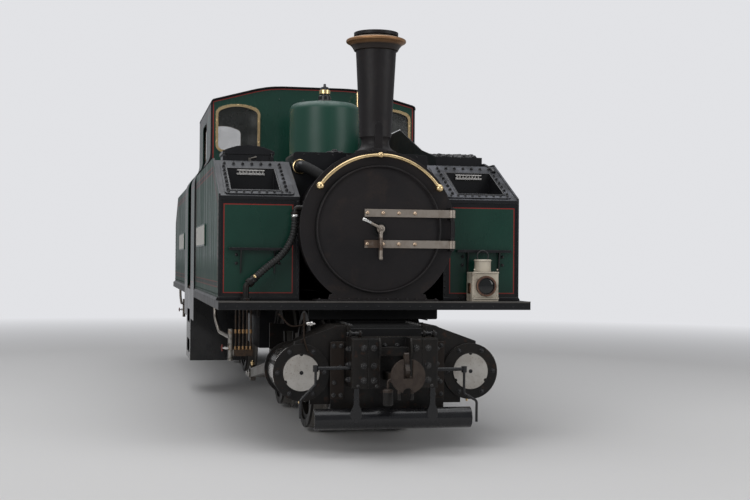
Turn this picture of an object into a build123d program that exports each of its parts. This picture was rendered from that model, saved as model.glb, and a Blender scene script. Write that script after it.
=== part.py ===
"""Double-ended narrow-gauge steam locomotive: one long boiler unit and cab on two swivelling power bogies.

Millimetres, +Z up, +X forward, +Y to the locomotive's left. The origin is midway between the bogie pivots, at the
level of the wheel flange tips. The two ends are mirror images, so each end's pieces are made once, for the front.
"""
from build123d import *
import os
from math import atan2, cos, degrees, radians, sin, sqrt

os.makedirs("parts", exist_ok=True)

# Wheels and track
track_gauge = 597
wheel_diameter = 813
flange_height = 25
flange_thickness = 22
flange_play = 8
tyre_width = 110
tyre_thickness = 56
axle_radius = 62
axlebox_running_fit = 0.05
rail_top = flange_height
wheel_radius = wheel_diameter / 2
axle_height = rail_top + wheel_radius
flange_radius = wheel_radius + flange_height
wheel_back = track_gauge / 2 - flange_play - flange_thickness + 4
wheel_face = wheel_back + tyre_width
spoke_count = 10
spoke_root_half = 27
spoke_tip_half = 18

# Bogies
pivot_x = 2197
bogie_wheelbase = 1422
inner_axle_x = pivot_x - bogie_wheelbase / 2
outer_axle_x = pivot_x + bogie_wheelbase / 2
bogie_frame_outside = 255
bogie_frame_plate = 25
bogie_rear_x = 960
bogie_frame_bottom = 320
bogie_frame_top = 700
pivot_radius = 70
pivot_fit = 0.1
pivot_casting_length = 420
pivot_casting_bottom = 540

# Cylinders, rods and cranks
crank_throw = 178
cylinder_y = 539
cylinder_front_x = 3863
cylinder_front_height_above_rail = 465
cylinder_front_height = rail_top + cylinder_front_height_above_rail
cylinder_rear_x = 3378
cylinder_radius = 155
cylinder_flange_radius = 176
cylinder_flange_thickness = 24
cover_disc_radius = 116
cover_disc_proud = 4
crank_pin_radius = 36
rod_pin_gap = 0.5
coupling_rod_inside = 400
coupling_rod_thickness = 48
connecting_rod_inside = 582
connecting_rod_thickness = 42
connecting_rod_length = 1500
left_crank_angle = 35
crank_quarter = -90
slidebar_half_width = 34
slidebar_gap_half = 62
slidebar_thickness = 22
slidebar_rear_x = 2470
motion_bracket_thickness = 20
motion_bracket_bottom = 668

# Running plate and cradle
plate_front_x = 3585
plate_half_width = 1030
plate_ledge = 13
plate_top_above_rail = 895
plate_top = rail_top + plate_top_above_rail
plate_thickness = 8
beam_depth = 55
beam_web = 12
cradle_inside = 470
cradle_plate = 26
cradle_bottom = 872
cradle_end_x = 3430
cradle_belly_x = 900
cradle_belly_bottom = 700

# Boiler, smokebox, chimney and dome
boiler_height_above_rail = 1363
boiler_height = rail_top + boiler_height_above_rail
boiler_radius = 455
firebox_half_length = 700
firebox_bottom = 420
firebox_shoulder_drop = 150
smokebox_rear_x = 2950
smokebox_front_x = 3566
smokebox_ring_radius = 514
smokebox_ring_thickness = 20
smokebox_drum_radius = 500
smokebox_neck_radius = 475
smokebox_wall = 14
smokebox_foot_half_width = 330
smokebox_foot_height = 46
door_radius = 412
door_hole_radius = 385
door_seat_gap = 1
door_edge_thickness = 16
door_dome_rise = 22
door_hinge_y = 482
door_hinge_radius = 11
chimney_x = 3440
chimney_foot_radius = 135
chimney_waist_radius = 104
chimney_top_radius = 133
chimney_bore_radius = 88
chimney_top_above_rail = 2657
chimney_top = rail_top + chimney_top_above_rail
chimney_cap_radius = 198
chimney_cap_depth = 122
chimney_cap_bottom_above_rail = chimney_top_above_rail - chimney_cap_depth
chimney_cap_bottom = rail_top + chimney_cap_bottom_above_rail
chimney_lip_radius = 146
dome_x = 1329
dome_radius = 288
dome_top_above_rail = 2472
dome_top = rail_top + dome_top_above_rail
dome_shoulder_radius = 62
dome_crown_drop = 32
valve_radius = 35
valve_height = 148
valve_top_above_rail = dome_top_above_rail + valve_height
valve_top = rail_top + valve_top_above_rail
sandbox_front_x = 2945
sandbox_length = 420
sandbox_half_width = 476
sandbox_edge_radius = 24
sandbox_lid_y = -150
sandbox_lid_radius = 62
sandbox_lid_height = 18
sandbox_top_above_rail = 1908
sandbox_top = rail_top + sandbox_top_above_rail

# Side tanks, bunkers and fillers
tank_front_x = 3367
tank_outside = plate_half_width - plate_ledge
tank_inside = 486
tank_face_top_above_rail = 1572
tank_face_top = rail_top + tank_face_top_above_rail
tank_slope_rear_x = 2794
tank_top_above_rail = 1848
tank_top = rail_top + tank_top_above_rail
tank_well_margin = 87
tank_well_width = 318
tank_well_outside = tank_outside - tank_well_margin
tank_well_inside = tank_well_outside - tank_well_width
tank_well_front_x = 3290
tank_well_rear_x = 2950
tank_well_depth = 130
slope_frame_margins = (30, 42)
slope_frame_length = (26, 596)
slope_frame_thickness = 8
slope_frame_corner = 34
tank_lip_height = 14
tank_lip_width = 12
shelf_margin = 67
shelf_width = 375
shelf_above_rail = 1237
shelf_depth = 46
shelf_thickness = 6
shelf_bracket_inset = 78
shelf_bracket_drop = 166
filler_x = (2420, 2700)
filler_margin = 82
filler_width = 350
filler_y = (tank_outside - filler_margin - filler_width, tank_outside - filler_margin)
filler_height = 52
lid_rise = 66
lid_overhang = 8
lid_hinge_radius = 7
lid_hinge_gap = 1
bunker_front_x = 2700
bunker_margin = 67
bunker_width = 348
bunker_y = (tank_outside - bunker_margin - bunker_width, tank_outside - bunker_margin)
bunker_front_height = 72
bunker_cab_height = 390
bunker_outer_height = 150
bunker_level_length = 670
bunker_slope_foot_x = 2240
bunker_slope_foot_height = 160
bunker_wall = 8
bunker_cab_gap = 40

# Cab
cab_half_length = 785
cab_sheet = 8
cab_lower_half_width = plate_half_width
cab_upper_half_width = 898
cab_shoulder_low_above_rail = 1800
cab_shoulder_low = rail_top + cab_shoulder_low_above_rail
cab_shoulder_high_above_rail = 2080
cab_shoulder_high = rail_top + cab_shoulder_high_above_rail
cab_eaves_above_rail = 2502
cab_eaves = rail_top + cab_eaves_above_rail
cab_crown_above_rail = 2663
cab_crown = rail_top + cab_crown_above_rail
roof_corner_rise = 26
roof_flat_half_width = 398
roof_corner_radius = 30
roof_bend_radius = 1100
roof_fit = 0.5
cab_roof_overhang = 25
cab_apron_depth = 260
cab_step_half_width = 330
foot_hole_half_width = 210
foot_hole_height = 120
foot_hole_rises = (60, 330)
step_tread_depth = 130
step_tread_thickness = 8
step_well_depth = 500
cab_step_bottom_above_rail = 262
cab_step_bottom = rail_top + cab_step_bottom_above_rail
door_opening_half_width = 270
door_opening_top_above_rail = 2390
door_opening_top = rail_top + door_opening_top_above_rail
window_margin = 53
window_width = 359
window_y = (cab_upper_half_width - window_margin - window_width, cab_upper_half_width - window_margin)
window_bottom_above_rail = 2092
window_bottom = rail_top + window_bottom_above_rail
window_side_top_above_rail = 2440
window_side_top = rail_top + window_side_top_above_rail
window_top_above_rail = 2488
window_top = rail_top + window_top_above_rail
window_corner_radius = 55
rim_width = 22
rim_proud = 12
glass_thickness = 6

# Headlamp, brake hose and handrail
lamp_x = (3392, 3536)
lamp_margin = 191
lamp_width = 184
lamp_y = (tank_outside - lamp_margin - lamp_width, tank_outside - lamp_margin)
lamp_body_height = 193
lamp_vent_radius = 55
lamp_vent_height = 86
lamp_bezel_radius = 68
lamp_bezel_depth = 24
lamp_lens_radius = 53
lamp_handle_half_width = 30
lamp_handle_rise = 58
lamp_handle_radius = 4
hose_radius = 25
hose_clamp_radius = 30
hose_clamp_length = 16
hose_neck_radius = 20
hose_route = (
    (3448, -528, 1480),
    (3448, -528, 1378),
    (3450, -564, 1280),
    (3454, -628, 1198),
    (3464, -727, 1126),
    (3480, -815, 1044),
)
coupling_reach = 44
rail_arc_radius = 476
rail_rod_radius = 12
rail_stand_off = 54
rail_end_angle = 34.6
rail_knob_radius = 26

# Buffer block, coupler and plough
block_front_x = 4096
block_rear_x = 3880
block_half_width = 266
block_bottom_above_rail = 387
block_bottom = rail_top + block_bottom_above_rail
block_top_above_rail = 690
block_top = rail_top + block_top_above_rail
block_recess_half_width = 92
block_recess_depth = 120
coupler_front_x = 4450
coupler_height_above_rail = 492
coupler_height = rail_top + coupler_height_above_rail
coupler_disc_radius = 101
coupler_disc_thickness = 26
plough_x = 4032
plough_height_above_rail = 198
plough_height = rail_top + plough_height_above_rail
plough_radius = 64
plough_sheet = 8
plough_half_width = 488
plough_bracket_y = 236
plough_bracket_thickness = 18


def block(x, y, z, mode=Mode.ADD):
    """A rectangular solid between two values along each axis."""
    with Locations((sum(x) / 2, sum(y) / 2, sum(z) / 2)):
        return Box(abs(x[1] - x[0]), abs(y[1] - y[0]), abs(z[1] - z[0]), mode=mode)


def side_plane(y):
    """A vertical plane at y, drawn in x and z. Extruding goes towards -Y."""
    return Plane.XZ.offset(-y)


def cross_plane(x):
    """A vertical plane at x, drawn in y and z. Extruding goes towards +X."""
    return Plane.YZ.offset(x)


def keep(piece, name):
    """Label a finished piece and write it."""
    piece.label = name
    export_step(piece, f"parts/{name}.step")


def keep_both_ends(piece, name):
    """Write the front piece, and its mirror image for the rear end."""
    with BuildPart() as rear:
        mirror(piece, about=Plane.YZ)
    keep(piece, name + "_front")
    keep(rear.part, name + "_rear")


def separate(*pieces):
    """Several pieces that touch, as one node of solids that aren't fused."""
    return Compound([solid for piece in pieces for solid in piece.solids()])


def keep_separate_both_ends(pieces, name):
    """Write touching pieces of the front end as one node, and their mirror images as another."""
    keep(separate(*pieces), name + "_front")
    keep(separate(*[mirror(piece, about=Plane.YZ) for piece in pieces]), name + "_rear")


def keep_separate_together(pieces, name):
    """Write touching pieces of the front end and their mirror images as one node."""
    keep(separate(*pieces, *[mirror(piece, about=Plane.YZ) for piece in pieces]), name)


def tube(points, radius, bends):
    """A round bar or pipe through the points, with a bend radius at each inner point."""
    with BuildPart() as pipe:
        with BuildLine() as path:
            FilletPolyline(*points, radius=bends)
        with BuildSketch(Plane(origin=path.line @ 0, z_dir=path.line % 0)):
            Circle(radius)
        sweep(path=path.line)
    return pipe.part


def keep_both_ends_together(piece, name):
    """Write the front piece and its mirror image for the rear end as one node."""
    with BuildPart() as pair:
        add(piece)
        mirror(piece, about=Plane.YZ)
    keep(pair.part, name)


# Cylinder axis: it rises a little from the driven axle to the front cover
cylinder_tilt = degrees(atan2(cylinder_front_height - axle_height, cylinder_front_x - inner_axle_x))


def cylinder_axis_height(x):
    """Height of the cylinder's centre line at x."""
    share = (x - inner_axle_x) / (cylinder_front_x - inner_axle_x)
    return axle_height + share * (cylinder_front_height - axle_height)


def cylinder_plane(x, y):
    """A plane square to the cylinder's centre line, facing forward."""
    tilt = radians(cylinder_tilt)
    return Plane(origin=(x, y, cylinder_axis_height(x)), x_dir=(0, 1, 0), z_dir=(cos(tilt), 0, sin(tilt)))


def crank_pin_at(axle_x, angle):
    """Centre of a crank pin in x and z."""
    return axle_x + crank_throw * cos(radians(angle)), axle_height + crank_throw * sin(radians(angle))


# Crank angle of each side: name, side sign, angle in degrees above forward
sides = (
    ("left", 1, left_crank_angle),
    ("right", -1, left_crank_angle + crank_quarter),
)

# Wheelset sizes that follow from the tyre
rim_outer_radius = wheel_radius - tyre_thickness
rim_inner_radius = rim_outer_radius - 34
rim_inset = 14
hub_radius = 98
hub_face = wheel_face + 10
spoke_back = wheel_back + 38
spoke_thickness = 34
boss_radius = 74
coupling_pin_end = coupling_rod_inside + coupling_rod_thickness + 8
driving_pin_end = connecting_rod_inside + connecting_rod_thickness + 10


def wheel_tyre(side):
    """The tyre with its flange and the wheel's rim, turned about the axle."""
    with BuildPart() as tyre:
        with BuildSketch(Plane.YZ):
            with BuildLine():
                Polyline(
                    (side * wheel_back, rim_outer_radius),
                    (side * wheel_back, flange_radius - 8),
                    (side * (wheel_back + 6), flange_radius),
                    (side * (wheel_back + flange_thickness - 8), flange_radius),
                    (side * (wheel_back + flange_thickness + 6), wheel_radius),
                    (side * wheel_face, wheel_radius - 4),
                    (side * wheel_face, rim_outer_radius),
                    (side * (wheel_face - rim_inset), rim_outer_radius),
                    (side * (wheel_face - rim_inset), rim_inner_radius),
                    (side * (wheel_back + rim_inset), rim_inner_radius),
                    (side * (wheel_back + rim_inset), rim_outer_radius),
                    close=True,
                )
            make_face()
        revolve(axis=Axis.Y)
    return tyre.part


def wheel_centre(side, crank_angle):
    """Hub, spokes, balance weight and crank boss, about the axle."""
    outer_face = max(side * spoke_back, side * (spoke_back + spoke_thickness))
    hub_outer = max(side * wheel_back, side * hub_face)
    pin_x = crank_throw * cos(radians(crank_angle))
    pin_z = crank_throw * sin(radians(crank_angle))
    spoke_root = hub_radius - 12
    spoke_tip = rim_inner_radius + 6
    with BuildPart() as centre:
        with BuildSketch(side_plane(hub_outer)):
            Circle(hub_radius)
        extrude(amount=hub_face - wheel_back)
        with BuildSketch(side_plane(outer_face)):
            with PolarLocations(0, spoke_count, start_angle=crank_angle):
                Polygon(
                    (spoke_root, -spoke_root_half), (spoke_tip, -spoke_tip_half),
                    (spoke_tip, spoke_tip_half), (spoke_root, spoke_root_half), align=None,
                )
        extrude(amount=spoke_thickness)
        with BuildSketch(side_plane(outer_face)):
            Circle(rim_inner_radius + 4)
            Circle(rim_inner_radius - 92, mode=Mode.SUBTRACT)
            with Locations((-pin_x * 1.1, -pin_z * 1.1)):
                Rectangle(2 * rim_inner_radius, 3 * rim_inner_radius, rotation=crank_angle, mode=Mode.INTERSECT)
        extrude(amount=spoke_thickness)
        boss_outer = max(side * spoke_back, side * hub_face)
        with BuildSketch(side_plane(boss_outer)):
            with Locations((pin_x, pin_z)):
                Circle(boss_radius)
            with Locations((pin_x / 2, pin_z / 2)):
                Rectangle(crank_throw, 2 * boss_radius, rotation=crank_angle)
        extrude(amount=hub_face - spoke_back)
    return centre.part


def wheel(side, crank_angle):
    """One whole wheel about the axle."""
    with BuildPart() as whole:
        add(wheel_tyre(side))
        add(wheel_centre(side, crank_angle))
    return whole.part


def crank_pin(side, crank_angle, pin_end):
    """The pin pressed into a wheel's crank boss, with its washer face."""
    pin_x = crank_throw * cos(radians(crank_angle))
    pin_z = crank_throw * sin(radians(crank_angle))
    with BuildPart() as pin:
        with BuildSketch(side_plane(max(side * hub_face, side * pin_end))):
            with Locations((pin_x, pin_z)):
                Circle(crank_pin_radius)
        extrude(amount=pin_end - hub_face)
    return pin.part


def axle():
    """The axle between the backs of its two wheels."""
    with BuildPart() as shaft:
        with BuildSketch(side_plane(wheel_back)):
            Circle(axle_radius)
        extrude(amount=2 * wheel_back)
    return shaft.part


for place, axle_x, pin_end in (
    ("inner", inner_axle_x, driving_pin_end),
    ("outer", outer_axle_x, coupling_pin_end),
):
    axle_centre = Location((axle_x, 0, axle_height))
    wheelset = [axle().moved(axle_centre)]
    for _, side, angle in sides:
        wheelset.append(wheel(side, angle).moved(axle_centre))
        wheelset.append(crank_pin(side, angle, pin_end).moved(axle_centre))
    keep_separate_both_ends(wheelset, f"wheelset_{place}")


# Rods
rod_eye_radius = 62
rod_half_depth = 34


def rod(start, end, length, inside, thickness, side):
    """A rod between two eyes, from start to end in x and z, drawn along its own length."""
    outer = max(side * inside, side * (inside + thickness))
    tilt = degrees(atan2(end[1] - start[1], end[0] - start[0]))
    with BuildPart() as piece:
        with BuildSketch(side_plane(outer)):
            with Locations(Location((start[0], start[1], 0), (0, 0, tilt))):
                with Locations((length / 2, 0)):
                    Rectangle(length, 2 * rod_half_depth)
                with Locations((0, 0), (length, 0)):
                    Circle(rod_eye_radius)
                with Locations((0, 0), (length, 0)):
                    Circle(crank_pin_radius + rod_pin_gap, mode=Mode.SUBTRACT)
        extrude(amount=thickness)
    return piece.part


for name, side, angle in sides:
    near_pin = crank_pin_at(inner_axle_x, angle)
    far_pin = crank_pin_at(outer_axle_x, angle)
    coupling_rod = rod(near_pin, far_pin, bogie_wheelbase, coupling_rod_inside, coupling_rod_thickness, side)
    keep_both_ends(coupling_rod, f"coupling_rod_{name}")


def small_end(angle):
    """Where the connecting rod's small end meets the cylinder's centre line, in x and z."""
    pin_x, pin_z = crank_pin_at(inner_axle_x, angle)
    x = pin_x + connecting_rod_length
    for _ in range(4):
        drop = cylinder_axis_height(x) - pin_z
        x = pin_x + sqrt(connecting_rod_length**2 - drop**2)
    return x, cylinder_axis_height(x)


for name, side, angle in sides:
    connecting_rod = rod(
        crank_pin_at(inner_axle_x, angle), small_end(angle), connecting_rod_length,
        connecting_rod_inside, connecting_rod_thickness, side,
    )
    keep_both_ends(connecting_rod, f"connecting_rod_{name}")


# Bogie frame: two plates, stretchers, the pivot casting and the front beam
axlebox_half_width = 85
axlebox_top = axle_height + 110
axlebox_bottom = axle_height - 100
bogie_front_x = 3856
bogie_front_top_above_rail = 752
bogie_front_top = rail_top + bogie_front_top_above_rail
front_beam_half_width = 360
front_beam_bottom_above_rail = 240
front_beam_bottom = rail_top + front_beam_bottom_above_rail
front_beam_top_above_rail = 654
front_beam_top = rail_top + front_beam_top_above_rail

with BuildPart() as bogie_frame:
    with BuildSketch(side_plane(bogie_frame_outside)):
        with BuildLine():
            Polyline(
                (bogie_rear_x, bogie_frame_bottom + 40),
                (bogie_rear_x, bogie_frame_top - 60),
                (bogie_rear_x + 160, bogie_frame_top),
                (outer_axle_x + 340, bogie_frame_top),
                (cylinder_rear_x + 30, bogie_front_top),
                (bogie_front_x, bogie_front_top),
                (bogie_front_x, front_beam_bottom),
                (bogie_front_x - 180, front_beam_bottom),
                (cylinder_rear_x, bogie_frame_bottom),
                (bogie_rear_x + 60, bogie_frame_bottom),
                close=True,
            )
        make_face()
        for axle_x in (inner_axle_x, outer_axle_x):
            with Locations((axle_x, (axlebox_top + bogie_frame_bottom) / 2)):
                Rectangle(2 * axlebox_half_width, axlebox_top - bogie_frame_bottom, mode=Mode.SUBTRACT)
    extrude(amount=bogie_frame_plate)
    mirror(about=Plane.XZ)
    frame_inside = bogie_frame_outside - bogie_frame_plate
    block((bogie_rear_x, bogie_rear_x + 20), (-frame_inside, frame_inside), (400, bogie_frame_top - 60))
    block((cylinder_rear_x, cylinder_rear_x + 20), (-frame_inside, frame_inside), (350, bogie_frame_top))
    block(
        (pivot_x - pivot_casting_length / 2, pivot_x + pivot_casting_length / 2),
        (-frame_inside, frame_inside),
        (pivot_casting_bottom, bogie_frame_top),
    )
    block(
        (bogie_front_x, block_rear_x),
        (-front_beam_half_width, front_beam_half_width),
        (front_beam_bottom, front_beam_top),
    )
    with BuildSketch(Plane.XY.offset(bogie_frame_top)):
        with Locations((pivot_x, 0)):
            Circle(pivot_radius + pivot_fit)
    extrude(amount=pivot_casting_bottom - bogie_frame_top, mode=Mode.SUBTRACT)

# Brake blocks against the treads, between the axles, with their hangers and beam
brake_gap = 6
brake_block_thickness = 46
brake_block_half_angle = 15
brake_block_y = (wheel_back + flange_thickness + 8, wheel_face - 12)
brake_hanger_y = (320, 336)
brake_hanger_half_width = 24
brake_hanger_top = 640
brake_beam_height = 330
brake_rod_radius = 15
brakes = []
for axle_x, facing in ((inner_axle_x, 1), (outer_axle_x, -1)):
    block_radius = wheel_radius + brake_gap
    hanger_x = axle_x + facing * (block_radius + brake_block_thickness + brake_hanger_half_width - 6)
    with BuildPart() as brake:
        with BuildSketch(side_plane(brake_block_y[1])):
            with Locations((axle_x, axle_height)):
                Circle(block_radius + brake_block_thickness)
                Circle(block_radius, mode=Mode.SUBTRACT)
            reach = block_radius + brake_block_thickness
            with Locations((axle_x + facing * reach, axle_height)):
                Rectangle(
                    2 * (reach - block_radius * cos(radians(brake_block_half_angle))),
                    2 * reach * sin(radians(brake_block_half_angle)),
                    mode=Mode.INTERSECT,
                )
        extrude(amount=brake_block_y[1] - brake_block_y[0])
        with BuildSketch(side_plane(brake_hanger_y[1])):
            with Locations((hanger_x, (brake_hanger_top + brake_beam_height) / 2)):
                SlotOverall(brake_hanger_top - brake_beam_height + 2 * brake_hanger_half_width,
                            2 * brake_hanger_half_width, rotation=90)
        extrude(amount=brake_hanger_y[1] - brake_hanger_y[0])
        with BuildSketch(side_plane(brake_hanger_y[0])):
            with Locations((hanger_x, brake_hanger_top)):
                Circle(brake_rod_radius)
        extrude(amount=brake_hanger_y[0] - bogie_frame_outside)
        mirror(about=Plane.XZ)
        with BuildSketch(side_plane(brake_hanger_y[0])):
            with Locations((hanger_x, brake_beam_height)):
                Circle(brake_rod_radius)
        extrude(amount=2 * brake_hanger_y[0])
    brakes.append(brake.part)
keep_separate_both_ends([bogie_frame.part, *brakes], "bogie_frame")

# Axleboxes in the frame slots
with BuildPart() as axleboxes:
    for axle_x in (inner_axle_x, outer_axle_x):
        block(
            (axle_x - axlebox_half_width, axle_x + axlebox_half_width),
            (frame_inside - 45, bogie_frame_outside),
            (axlebox_bottom, axlebox_top),
        )
    mirror(about=Plane.XZ)
    with BuildSketch(side_plane(bogie_frame_outside)):
        with Locations((inner_axle_x, axle_height), (outer_axle_x, axle_height)):
            Circle(axle_radius + axlebox_running_fit)
    extrude(amount=2 * bogie_frame_outside, mode=Mode.SUBTRACT)
keep_both_ends(axleboxes.part, "axleboxes")

# Cylinders with their sloping saddles, bolted to the outside of the frame plates
saddle_front_x = cylinder_front_x - cylinder_flange_thickness
front_plate_thickness = 24
front_plate_bottom = 292
with BuildPart() as cylinders:
    with BuildSketch(cylinder_plane(cylinder_front_x, cylinder_y)):
        Circle(cylinder_radius)
    extrude(amount=cylinder_rear_x - cylinder_front_x)
    with BuildSketch(cylinder_plane(cylinder_front_x, cylinder_y)):
        Circle(cylinder_flange_radius)
    extrude(amount=-cylinder_flange_thickness)
    with BuildSketch(cylinder_plane(cylinder_rear_x, cylinder_y)):
        Circle(cylinder_flange_radius)
    extrude(amount=cylinder_flange_thickness)
    with BuildSketch(cylinder_plane(cylinder_front_x, cylinder_y)):
        Circle(cover_disc_radius)
    extrude(amount=cover_disc_proud)
    with BuildSketch(cross_plane(cylinder_rear_x + 40)):
        with BuildLine():
            Polyline(
                (bogie_frame_outside, bogie_front_top),
                (bogie_frame_outside + 64, bogie_front_top),
                (cylinder_y + 60, cylinder_front_height + 140),
                (cylinder_y, cylinder_front_height),
                (cylinder_y - 80, cylinder_front_height - 120),
                (bogie_frame_outside, front_beam_bottom + 60),
                close=True,
            )
        make_face()
    extrude(amount=saddle_front_x - cylinder_rear_x - 40)
    with BuildSketch(cross_plane(saddle_front_x - front_plate_thickness)):
        with BuildLine():
            Polyline(
                (bogie_frame_outside, bogie_front_top),
                (bogie_frame_outside + 54, bogie_front_top),
                (cylinder_y + 40, cylinder_front_height + 190),
                (cylinder_y + 60, cylinder_front_height),
                (cylinder_y - 58, front_plate_bottom + 110),
                (cylinder_y - 58, front_plate_bottom),
                (bogie_frame_outside, front_plate_bottom),
                close=True,
            )
        make_face()
    extrude(amount=front_plate_thickness)
    mirror(about=Plane.XZ)
keep_both_ends(cylinders.part, "cylinders")

# Slidebars, crossheads and the motion bracket that carries the bars' rear ends
crosshead_half_length = 105
piston_rod_radius = 20
with BuildPart() as motion:
    for _, side, angle in sides:
        head_x, head_z = small_end(angle)
        for level in (1, -1):
            with BuildSketch(cylinder_plane(cylinder_rear_x, side * cylinder_y)):
                with Locations((0, level * (slidebar_gap_half + slidebar_thickness / 2))):
                    Rectangle(2 * slidebar_half_width, slidebar_thickness)
            extrude(amount=slidebar_rear_x - cylinder_rear_x)
        with BuildSketch(side_plane(side * cylinder_y + slidebar_half_width)):
            with Locations(Location((head_x, head_z, 0), (0, 0, cylinder_tilt))):
                Rectangle(2 * crosshead_half_length, 2 * slidebar_gap_half)
        extrude(amount=2 * slidebar_half_width)
        with BuildSketch(cylinder_plane(cylinder_rear_x, side * cylinder_y)):
            Circle(piston_rod_radius)
        extrude(amount=head_x - cylinder_rear_x)
        bracket = (
            (bogie_frame_outside, motion_bracket_bottom),
            (cylinder_y - slidebar_half_width - 30, motion_bracket_bottom),
            (cylinder_y - slidebar_half_width - 30, axle_height - 90),
            (cylinder_y + slidebar_half_width, axle_height - 90),
            (cylinder_y + slidebar_half_width, motion_bracket_bottom + 60),
            (bogie_frame_outside, bogie_frame_top),
        )
        with BuildSketch(cross_plane(slidebar_rear_x - motion_bracket_thickness)):
            with BuildLine():
                Polyline(*[(side * y, z) for y, z in bracket], close=True)
            make_face()
        extrude(amount=motion_bracket_thickness)
keep_both_ends(motion.part, "slidebars")

# Buffer block with its recess
recess_bar_setback = 46
guide_flange_thickness = 10
guide_flange_drop = 130
guide_flange_reach = 26
with BuildPart() as buffer_block:
    block((block_rear_x, block_front_x), (-block_half_width, block_half_width), (block_bottom, block_top))
    block(
        (block_front_x - block_recess_depth, block_front_x),
        (-block_recess_half_width, block_recess_half_width),
        (block_bottom, block_top),
        mode=Mode.SUBTRACT,
    )
    block(
        (block_front_x - block_recess_depth, block_front_x - recess_bar_setback),
        (-block_recess_half_width, block_recess_half_width),
        (block_top - 110, block_top - 60),
    )
    for side in (1, -1):
        flange_outer = max(side * block_recess_half_width, side * (block_recess_half_width + guide_flange_thickness))
        with BuildSketch(side_plane(flange_outer)):
            with BuildLine():
                flange_top = Line((block_front_x, block_top), (block_front_x, block_top - guide_flange_drop))
                ThreePointArc(
                    flange_top @ 0,
                    (block_front_x + guide_flange_reach, block_top - guide_flange_drop / 2),
                    flange_top @ 1,
                )
            make_face()
        extrude(amount=guide_flange_thickness)
keep_both_ends(buffer_block.part, "buffer_block")

# Coupler: a shank out of the recess with a slotted disc on its end
coupler_shank_half = 34
coupler_slot_half_width = 29
coupler_notch_radius = 32
hook_half_thickness = 14
hanging_pin_y = 38
hanging_pin_radius = 10
hanging_pin_length = 84
weight_radius = 31
weight_height = 98
weight_arm = (
    (coupler_front_x - 150, -coupler_shank_half, coupler_height - 36),
    (coupler_front_x - 150, -87, coupler_height - 36),
    (coupler_front_x - 150, -87, coupler_height - 88),
)
with BuildPart() as coupler:
    with BuildSketch(cross_plane(coupler_front_x - coupler_disc_thickness)):
        with Locations((0, coupler_height)):
            Circle(coupler_disc_radius)
        with Locations((0, coupler_height + coupler_disc_radius / 2)):
            Rectangle(2 * coupler_slot_half_width, coupler_disc_radius + 30, mode=Mode.SUBTRACT)
        with Locations((0, coupler_height - coupler_disc_radius)):
            Circle(coupler_notch_radius, mode=Mode.SUBTRACT)
    extrude(amount=coupler_disc_thickness)
    block(
        (block_front_x - block_recess_depth, coupler_front_x - coupler_disc_thickness),
        (-coupler_shank_half - 14, coupler_shank_half + 14),
        (coupler_height - 60, coupler_height - 12),
    )
    hook_root = coupler_front_x - 150
    with BuildSketch(side_plane(hook_half_thickness)):
        with BuildLine():
            shank_top = Polyline(
                (hook_root, coupler_height - 14),
                (coupler_front_x - 30, coupler_height - 14),
                (coupler_front_x - 6, coupler_height + 30),
                (coupler_front_x - 34, coupler_height + 66),
                (coupler_front_x - 44, coupler_height + 118),
            )
            tip = ThreePointArc(
                shank_top @ 1,
                (coupler_front_x - 62, coupler_height + 132),
                (coupler_front_x - 74, coupler_height + 114),
            )
            Polyline(
                tip @ 1,
                (coupler_front_x - 70, coupler_height + 56),
                (coupler_front_x - 52, coupler_height + 34),
                (coupler_front_x - 66, coupler_height + 20),
                (hook_root, coupler_height + 20),
                shank_top @ 0,
            )
        make_face()
    extrude(amount=2 * hook_half_thickness)
    for side in (1, -1):
        with BuildSketch(Plane.XY.offset(coupler_height - 60)):
            with Locations((coupler_front_x - 70, side * hanging_pin_y)):
                Circle(hanging_pin_radius)
        extrude(amount=-hanging_pin_length)
    add(tube(weight_arm, 8, 14))
    with BuildSketch(Plane.XY.offset(weight_arm[2][2])):
        with Locations((weight_arm[2][0], weight_arm[2][1])):
            Circle(weight_radius)
    extrude(amount=-weight_height)
    fillet(coupler.edges().filter_by(GeomType.CIRCLE).filter_by(lambda e: abs(e.radius - weight_radius) < 1e-3), 12)
keep_both_ends(coupler.part, "coupler")

# Plough: a rolled plate hung from the buffer block by two brackets
with BuildPart() as plough:
    with BuildSketch(side_plane(plough_half_width)):
        with Locations((plough_x, plough_height)):
            Circle(plough_radius)
            Circle(plough_radius - plough_sheet, mode=Mode.SUBTRACT)
        with Locations((plough_x - plough_radius, plough_height)):
            Rectangle(2 * plough_radius, 2 * plough_radius, mode=Mode.SUBTRACT)
    extrude(amount=2 * plough_half_width)
    with BuildSketch(cross_plane(plough_x + plough_radius - plough_bracket_thickness)):
        for side in (1, -1):
            bracket_y = side * plough_bracket_y
            with BuildLine():
                Polyline(
                    (bracket_y - 15, block_bottom),
                    (bracket_y + 15, block_bottom),
                    (bracket_y + 17, plough_height + plough_radius + 24),
                    (bracket_y + 32, plough_height + plough_radius - 10),
                    (bracket_y + 32, plough_height + 14),
                    (bracket_y, plough_height - 20),
                    (bracket_y - 32, plough_height + 14),
                    (bracket_y - 32, plough_height + plough_radius - 10),
                    (bracket_y - 17, plough_height + plough_radius + 24),
                    close=True,
                )
            make_face()
    extrude(amount=plough_bracket_thickness)
keep_both_ends(plough.part, "plough")

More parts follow.
